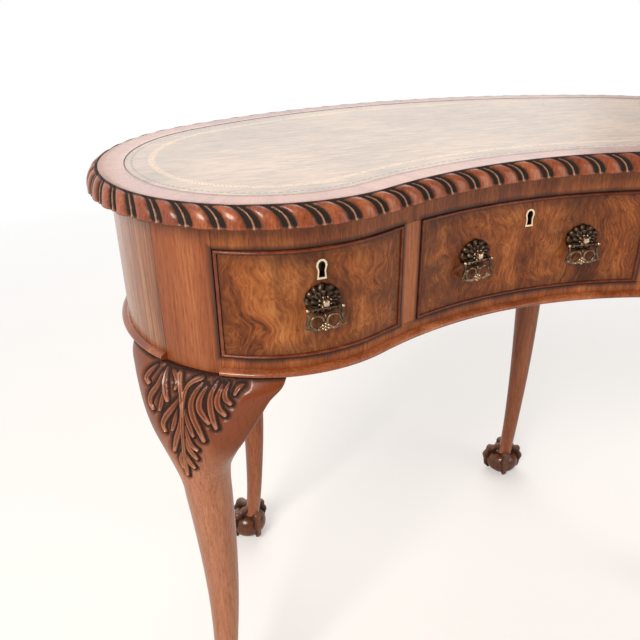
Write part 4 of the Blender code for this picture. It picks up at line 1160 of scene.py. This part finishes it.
def make_foot(name, side, centre):
    """A ball and four toes round the end of one leg."""
    point, line, normal = frame_at(centre)
    middle = point + normal * (FOOT_REACH - FRIEZE_INSET)
    ankle = point + normal * (FOOT_REACH * 0.42 - FRIEZE_INSET)
    tilt = np.linspace(0, math.pi, BALL_RINGS)[:, None, None]
    reach = BALL_RADIUS * np.sin(tilt) ** 0.8
    reach[0], reach[-1] = 0.02 * BALL_RADIUS, 0.5 * BALL_RADIUS
    circle = np.stack([np.cos(spins(40)), np.sin(spins(40))], -1)
    parts = [skin(raised(middle + reach * circle, BALL_HEIGHT * (0.5 + 0.5 * np.cos(tilt))))]
    hollow, rib = [np.full(BALL_RINGS * 40, 0.12)], [np.zeros(BALL_RINGS * 40)]
    knots, fine = np.linspace(0, 1, len(TOE_ROWS)), np.linspace(0, 1, 34)
    *path, radii = (np.interp(fine, knots, column) for column in np.array(TOE_ROWS).T * MM)
    path = np.column_stack(path)
    path[1:-1] = (path[:-2] + 2 * path[1:-1] + path[2:]) / 4
    lean = np.gradient(path, axis=0)
    lean /= np.linalg.norm(lean, axis=1, keepdims=True)
    around = spins(18)
    for heading in spins(4):
        ray = normal * math.sin(heading) + line * math.cos(heading)
        cross = np.array([-ray[1], ray[0]])
        rings = []
        for (reach, level), (run, rise), radius in zip(path, lean, radii):
            base = ankle + (middle - ankle) * min(1.0, (72.0 * MM - level) / (26.0 * MM))
            outward, aside = radius * np.cos(around), radius * np.sin(around)
            flat = base + np.outer(reach - outward * rise, ray) + np.outer(aside, cross)
            rings.append(raised(flat, np.maximum(level + outward * run, 0.2 * MM)[:, None]))
        parts.append(skin(np.stack(rings)))
        # Painted shade with patina darkens each toe away from its crest, and a painted highlight with
        # rubbed wear lightens the crest.
        crest = np.tile(unit(np.cos(around)), len(path))
        hollow.append(unit(0.85 - 0.65 * crest))
        rib.append(crest**3 * 0.6)
    parts = [(points * (side, 1, 1), faces) for points, faces in parts]
    mesh = make_mesh(name, parts, 60.0, hollow, rib)
    add_piece(name, mesh, foot_walnut)
    return mesh


FOOT_WEAR_AND_LIGHT = {"worn": ("#140a06", "#8a5a3e"), "shine": 0.5}
foot_walnut = walnut("carved_foot_walnut", "#3a1b0d #603219 #844a2a", 0.28, **FOOT_WEAR_AND_LIGHT)
for side, word in ((1, "left"), (-1, "right")):
    for kind, centre in (("front", front_centre), ("back", back_centre)):
        mesh = make_foot(f"claw_foot_{kind}_{word}", side, centre)
print("faces of a foot:", len(mesh.polygons))

# %% [markdown]
# ## Half round beads
#
# A bead runs along the foot of the frieze and dies at each post. On the real desk it was run with a
# scratch stock and bent round. The tree sweeps a half round along the path and lets its radius fall
# away near both ends, so that each length ends in a worn round tip instead of a saw cut.

# %% Run the beads
BEAD_HEIGHT = 8.0 * MM
BEAD_PROUD = 7.8 * MM
BEAD_POINTS = 24
BEAD_RUNS = {
    "bead_back": (-BACK_POST[0], BACK_POST[0]),
    "bead_left": (BACK_POST[1], FRONT_POST[0]),
    "bead_right": (-FRONT_POST[0], -BACK_POST[1]),
    "bead_front": (FRONT_POST[1], 2 * HALF_LINE - FRONT_POST[1]),
}
tree, given = new_tree("half_round_bead", {"Height": 0.008, "Proud": 0.008, "Tip": 0.004})
even = {"Curve": given["Geometry"], "Length": 2.0 * MM}
even = node(tree, "GeometryNodeResampleCurve", even, mode="LENGTH")
upright = node(tree, "GeometryNodeSetCurveNormal", {"Curve": even}, mode="Z_UP")
travel = node(tree, "GeometryNodeSplineParameter")["Length"]
whole = node(tree, "GeometryNodeSplineLength")["Length"]
to_end = maths("MINIMUM", travel, whole - travel)
missing = 1.0 - remap(to_end / given["Tip"], 0.0, 1.0, 0.02, 1.0)
full = maths("SQRT", 1.0 - missing * missing)
tapered = node(tree, "GeometryNodeSetCurveRadius", {"Curve": upright, "Radius": full})
turn = node(tree, "GeometryNodeInputIndex") * (2 * math.pi / BEAD_POINTS)
outward = maths("MAXIMUM", maths("COSINE", turn), -0.05) * given["Proud"]
section = circle_profile(tree, BEAD_POINTS, outward, maths("SINE", turn) * 0.5 * given["Height"])
swept = {"Curve": tapered, "Profile Curve": section, "Fill Caps": True}
finish_tree(tree, given, node(tree, "GeometryNodeCurveToMesh", swept))

for name, (first, last) in BEAD_RUNS.items():
    run = np.linspace(first + 0.3 * MM, last - 0.3 * MM, 160)
    path = raised(rim(run, -FRIEZE_INSET + 0.3 * MM), FRIEZE_BOTTOM + BEAD_HEIGHT / 2)
    sizes = {"Height": BEAD_HEIGHT, "Proud": BEAD_PROUD}
    mesh = grow("rounded_" + name, path, False, tree, sizes, bead_walnut)
    add_piece(mesh.name, mesh, bead_walnut, (name,))

# %% [markdown]
# ## Cockbeads
#
# A thin bead of darker wood frames each drawer front and stands a little proud, which guards the edge
# of the veneer. Its front is rounded. Each of the four strips is a skin, and the upper and lower ones
# are bent with the drawer.

# %% Bend the cockbeads
COCKBEAD_WIDTH = 3.0 * MM
COCKBEAD_PROUD = 2.3 * MM
COCKBEAD_DEPTH = 7.9 * MM
round_front = np.linspace(0, math.pi, 9)
strip_in = (1 - np.cos(round_front)) / 2 * COCKBEAD_WIDTH
strip_out = np.sin(round_front) ** 0.7 * COCKBEAD_PROUD


def extent(name):
    """The lowest and highest corner of a CAD node."""
    corners = np.array([nodes[name].matrix_world @ vertex.co for vertex in nodes[name].data.vertices])
    return corners.min(0), corners.max(0)


def front_y(x):
    """How far forward the curved front stands at x."""
    return float(rim(front_station(x, -FRIEZE_INSET), -FRIEZE_INSET)[1])


def strip_ring(x, y, z):
    """One ring of a strip: its rounded front and the two corners of its back."""
    x, y, z = np.broadcast_arrays(x, y, z)
    back = np.stack([x, y + COCKBEAD_DEPTH, z], -1)[[-1, 0]]
    return np.vstack([np.stack([x, y - strip_out, z], -1), back])


for drawer in ("drawer_left", "drawer_centre", "drawer_right"):
    low, high = extent(drawer + "_cockbead")
    places = [(x, front_y(x)) for x in np.linspace(low[0], high[0], 41)]
    rings = []
    for level in (high[2] - strip_in, low[2] + strip_in):
        rings.append([strip_ring(x, y, level) for x, y in places])
    levels = np.linspace(low[2] + COCKBEAD_WIDTH / 2, high[2] - COCKBEAD_WIDTH / 2, 9)
    for across in (low[0] + strip_in, high[0] - strip_in):
        y = np.array([front_y(x) for x in across])
        rings.append([strip_ring(across, y, z) for z in levels])
    mesh = make_mesh(drawer + "_rounded_cockbead", [skin(np.array(strip)) for strip in rings])
    add_piece(mesh.name, mesh, cockbead_walnut, (drawer + "_cockbead",), drawer)
print("cockbead faces:", len(mesh.polygons))

# %% [markdown]
# ## Brass handles
#
# Each handle has a domed backplate of overlapping leaves with a square boss, the head of its post, and
# a bail that hangs from two pivots. The bail is pierced by two round openings, framed by thin bars that
# end in pointed corners, and a flower of small balls sits between them. The castings were lacquered
# dark, the bail darker than the backplate, and the high points have been rubbed bright by hands, with
# painted highlights on them as well.
# Everything is laid out flat in millimetres, across and up, with its height above the drawer, and then
# set on the drawer front.

# %% Cast the handles
HANDLE_LEVEL = DESK_HEIGHT - 97.0 * MM
HANDLE_PLACES = {"left": -259.75, "centre_left": -69.0, "centre_right": 69.0, "right": 259.75}
PIVOT_DROP = 6.0
PIVOT_PROUD = 9.2
ROSE_WIDE, ROSE_TALL = 18.6, 15.4
WINDOW_ACROSS, WINDOW_UP = 8.4, -19.6


def ellipse(turns, wide, tall, out):
    """Places round an ellipse, at a height above the drawer."""
    return np.stack(np.broadcast_arrays(wide * np.cos(turns), tall * np.sin(turns), out), -1)


def set_on_front(x, flat, curved):
    """Turns places across, up and out, in mm, into places on the drawer front at x."""
    station = front_station(x, -FRIEZE_INSET)
    across, up, out = (flat[..., k] * MM for k in range(3))
    if curved:
        place = rim(station + across, out - FRIEZE_INSET)
    else:
        point, line, normal = frame_at(station)
        place = point + line * across[..., None] + normal * (out - FRIEZE_INSET)[..., None]
    return raised(place, (HANDLE_LEVEL + up)[..., None])


def ball(centre, radius, detail=9):
    """A ball in the handle's own measures."""
    tilt = np.linspace(0.04, math.pi - 0.04, detail)[:, None]
    unit_ball = ellipse(spins(2 * detail), np.sin(tilt), np.sin(tilt), np.cos(tilt))
    return np.asarray(centre, float) + unit_ball * np.asarray(radius, float)


def bar(path, radius, sides=10):
    """A round bar along a path across, up and out, thinner at its ends if given more radii."""
    path, radius = np.asarray(path, float), np.atleast_1d(radius)
    radius = np.interp(np.linspace(0, 1, len(path)), np.linspace(0, 1, len(radius)), radius)
    ahead = np.gradient(path, axis=0)
    ahead /= np.linalg.norm(ahead, axis=1, keepdims=True)
    beside = np.cross((0.0, 0.0, 1.0), ahead)
    beside /= np.linalg.norm(beside, axis=1, keepdims=True)
    upward = np.cross(ahead, beside)
    turns = spins(sides)[None, :, None]
    round_path = beside[:, None] * np.cos(turns) + upward[:, None] * np.sin(turns)
    return path[:, None] + radius[:, None, None] * round_path


def rose_surface():
    """The leafy dome, as rings from the rim to the middle, with its hollows and ribs."""
    turns = spins(144)
    rings, hollow, rib = [], [], []
    tip = bell(turns, math.pi / 2, 0.16)
    for share in [1.0, 1.0, *np.linspace(0.97, 0.06, 26)]:
        edge = 0.97 + 0.055 * np.abs(np.cos(6 * turns)) + 0.06 * tip * share**3
        row = np.clip((1 - share) * 3.2, 0, 2.999)
        order, within = int(row), row - int(row)
        swirl = turns + 0.5 * share + 0.12 * np.sin(3 * turns)
        wave = np.cos(6 * swirl + (order % 2) * math.pi / 2)
        leaf = np.abs(wave)
        lift = (1.25 * (1 - within) * leaf**0.6 + 0.35 * leaf**6) * (share < 1.0)
        height = 1.4 + 6.6 * (1 - share**2.4) ** 0.75 + lift
        rings.append(ellipse(turns, ROSE_WIDE * share * edge, ROSE_TALL * share * edge, height))
        hollow.append(unit(1.1 - leaf * 1.2 + 0.5 * within) + 0.2 * bell(wave, 0, 0.25))
        # Painted highlights, partly rubbed brass, on the crests of the leaves.
        rib.append(unit(leaf**10 * (1 - within) * 0.3))
    rings[0][:, 2] = 0.3
    return np.array(rings), np.concatenate(hollow), np.concatenate(rib)


def metal(name, dark, bright, roughness, scale=260.0):
    """Metal with a mottled surface, darker in its hollows, bright where rubbed and where highlights are
    painted.
    """
    made, shader, place = new_material(name)
    mottle = noise(place, scale, 4.0, 0.6)
    hollow, rib = carving_marks(place.tree)
    # The ribs carry painted highlights as well as rubbed brass.
    rubbed = remap((mottle - 0.5) * 0.9 + rib, 0.15, 0.75)
    tone = blend(hollow * 0.85, blend(rubbed, dark, bright), "#0f0b09")
    rough = remap(rubbed, 0.0, 1.0, roughness + 0.14, roughness)
    fill(shader, {"Base Color": tone, "Metallic": 1.0, "Roughness": rough})
    fill(shader, {"Normal": bumps(mottle, 0.2, 0.15 * MM)})
    return made


def join_parts(name, x, shapes):
    """One mesh from shapes that are each a grid, its hollows, its ribs, and a word if it is curved."""
    parts, marks = [], []
    for grid, dark, bright, *curved in shapes:
        parts.append(skin(set_on_front(x, grid, bool(curved))))
        size = grid.shape[0] * grid.shape[1]
        marks.append([np.broadcast_to(mark, size) for mark in (dark, bright)])
    return make_mesh(name, parts, 50.0, *zip(*marks))


def square_peg(half, low, high):
    """A square head with softened corners between two heights."""
    turns = spins(24)
    reach = half / (np.abs(np.cos(turns)) ** 8 + np.abs(np.sin(turns)) ** 8) ** 0.125
    rows = [(1.0, low), (1.0, high - 0.6), (0.84, high), (0.3, high + 0.2)]
    return np.array([ellipse(turns, reach * size, reach * size, out) for size, out in rows])


def lug(side):
    """A small eye of the backplate that holds the pin."""
    turns = spins(14)
    out = np.where(np.cos(turns) < -0.2, 1.2, PIVOT_PROUD + 2.4 * np.cos(turns))
    up = 2.4 * np.sin(turns) - PIVOT_DROP
    rows = [np.broadcast_arrays(side * across, up, out) for across in np.linspace(12.4, 15.4, 4)]
    return np.stack(rows).transpose(0, 2, 1)


def hung(side, *places):
    """A path across and up, on one side, at the height of the pivots."""
    return [(side * across, up, PIVOT_PROUD) for across, up in places]


backplate = [(*rose_surface(), "curved"), (square_peg(2.9, 6.0, 13.2), 0.0, 1.0)]
for turn in np.radians(np.arange(20, 380, 45)):
    backplate.append((ball((6.2 * math.cos(turn), 5.4 * math.sin(turn), 8.6), 0.95, 7), 0.1, 0.75))
backplate += [(lug(side), 0.15, 0.25) for side in (-1, 1)]

window = ellipse(np.radians(np.linspace(0, 345, 33)), 6.6, 6.6, PIVOT_PROUD)
pin = hung(1, (-17.2, -6), (-6, -6), (6, -6), (17.2, -6))
bail = [(bar(pin, 1.0), 0.1, 0.35)]
for side in (-1, 1):
    arm = hung(side, (17.6, -7), (16.6, -11.5), (17.4, -18), (21.0, -25.4))
    foot = hung(side, (20.4, -25.0), (14.5, -25.6), (9, -27.6), (3, -26.4))
    bail += [
        (bar(window + (side * WINDOW_ACROSS, WINDOW_UP, 0), 1.25), 0.0, 0.35),
        (ball((side * 17.6, -PIVOT_DROP, PIVOT_PROUD), 2.1), 0.0, 1.0),
        (bar(arm, (1.5, 1.5, 1.8, 0.6)), 0.1, 0.3),
        (bar(foot, (0.6, 1.6, 1.4, 1.5)), 0.0, 0.4),
        (ball((side * 7.4, -27.2, PIVOT_PROUD + 0.4), 1.2, 7), 0.0, 0.8),
        (ball((side * 15.4, -24.6, PIVOT_PROUD), (1.9, 1.3, 1.1), 7), 0.0, 0.4),
    ]
bail.append((ball((0, -25.0, PIVOT_PROUD + 0.8), (1.8, 1.8, 1.5)), 0.0, 0.7))
for turn in np.radians(np.arange(30, 390, 60)):
    petal = (3.2 * math.cos(turn), -25.0 + 3.2 * math.sin(turn), PIVOT_PROUD + 0.3)
    bail.append((ball(petal, 1.55, 7), 0.0, 0.85))
bail.append((ball((0, -14.2, PIVOT_PROUD), (1.5, 2.4, 1.2), 7), 0.1, 0.4))

antique_brass = metal("cast_antique_brass", "#5a473a", "#dcc4a8", 0.3)
bail_brass = metal("cast_bail_brass", "#33271e", "#c4a888", 0.3)
for word, x in HANDLE_PLACES.items():
    handle, drawer = "handle_" + word, "drawer_" + word.split("_")[0]
    mesh = join_parts(handle + "_backplate", x * MM, backplate)
    add_piece(mesh.name, mesh, antique_brass, (handle + "_rosette",), drawer)
    mesh = join_parts(handle + "_pierced_bail", x * MM, bail)
    add_piece(mesh.name, mesh, bail_brass, (handle + "_bail",), handle)
print("bail faces:", len(mesh.polygons))

# %% [markdown]
# ## Finishes of the plain pieces
#
# Pieces whose solids already have the right shape keep them and get a better finish. Drawer boxes,
# runners and the ground of the top are of plain oak, scraped and never polished, with its grain along
# the boards. The locks are filed steel, and the brass keyhole plates are let into the veneer.

# %% Dress the plain pieces
lining_oak = walnut("scraped_drawer_oak", "#6f4f33 #a17a53 #c3a079", 0.62, (0.5, 0.05, 1.0), 1.1, 0.0)
ground_oak = walnut("plain_carcase_oak", "#5d4029 #866243 #a88360", 0.7, (0.05, 0.5, 1.0), 1.1, 0.0)
BY_SLOT = {
    "walnut": veneered_panel,
    "burr_walnut": burr_walnut,
    "crossband_walnut": cockbead_walnut,
    "carved_walnut": carved_walnut,
    "tooled_leather": tooled_leather,
    "drawer_lining": lining_oak,
    "aged_brass": antique_brass,
    "pale_brass": metal("polished_plate_brass", "#fbe9c4", "#fff6e0", 0.3, 90.0),
    "lock_steel": metal("filed_lock_steel", "#6d6660", "#c3beb8", 0.34, 120.0),
}
BY_NAME = {"rail": rail_walnut, "divider": polished_post, "bearer": ground_oak, "top_board": ground_oak}
for name, item in nodes.items():
    finish = BY_SLOT[item.data.materials[0].name.split(".")[0]]
    for word, special in BY_NAME.items():
        if word in name:
            finish = special
    item.data.materials.clear()
    item.data.materials.append(finish)
print("finished nodes:", len(nodes))
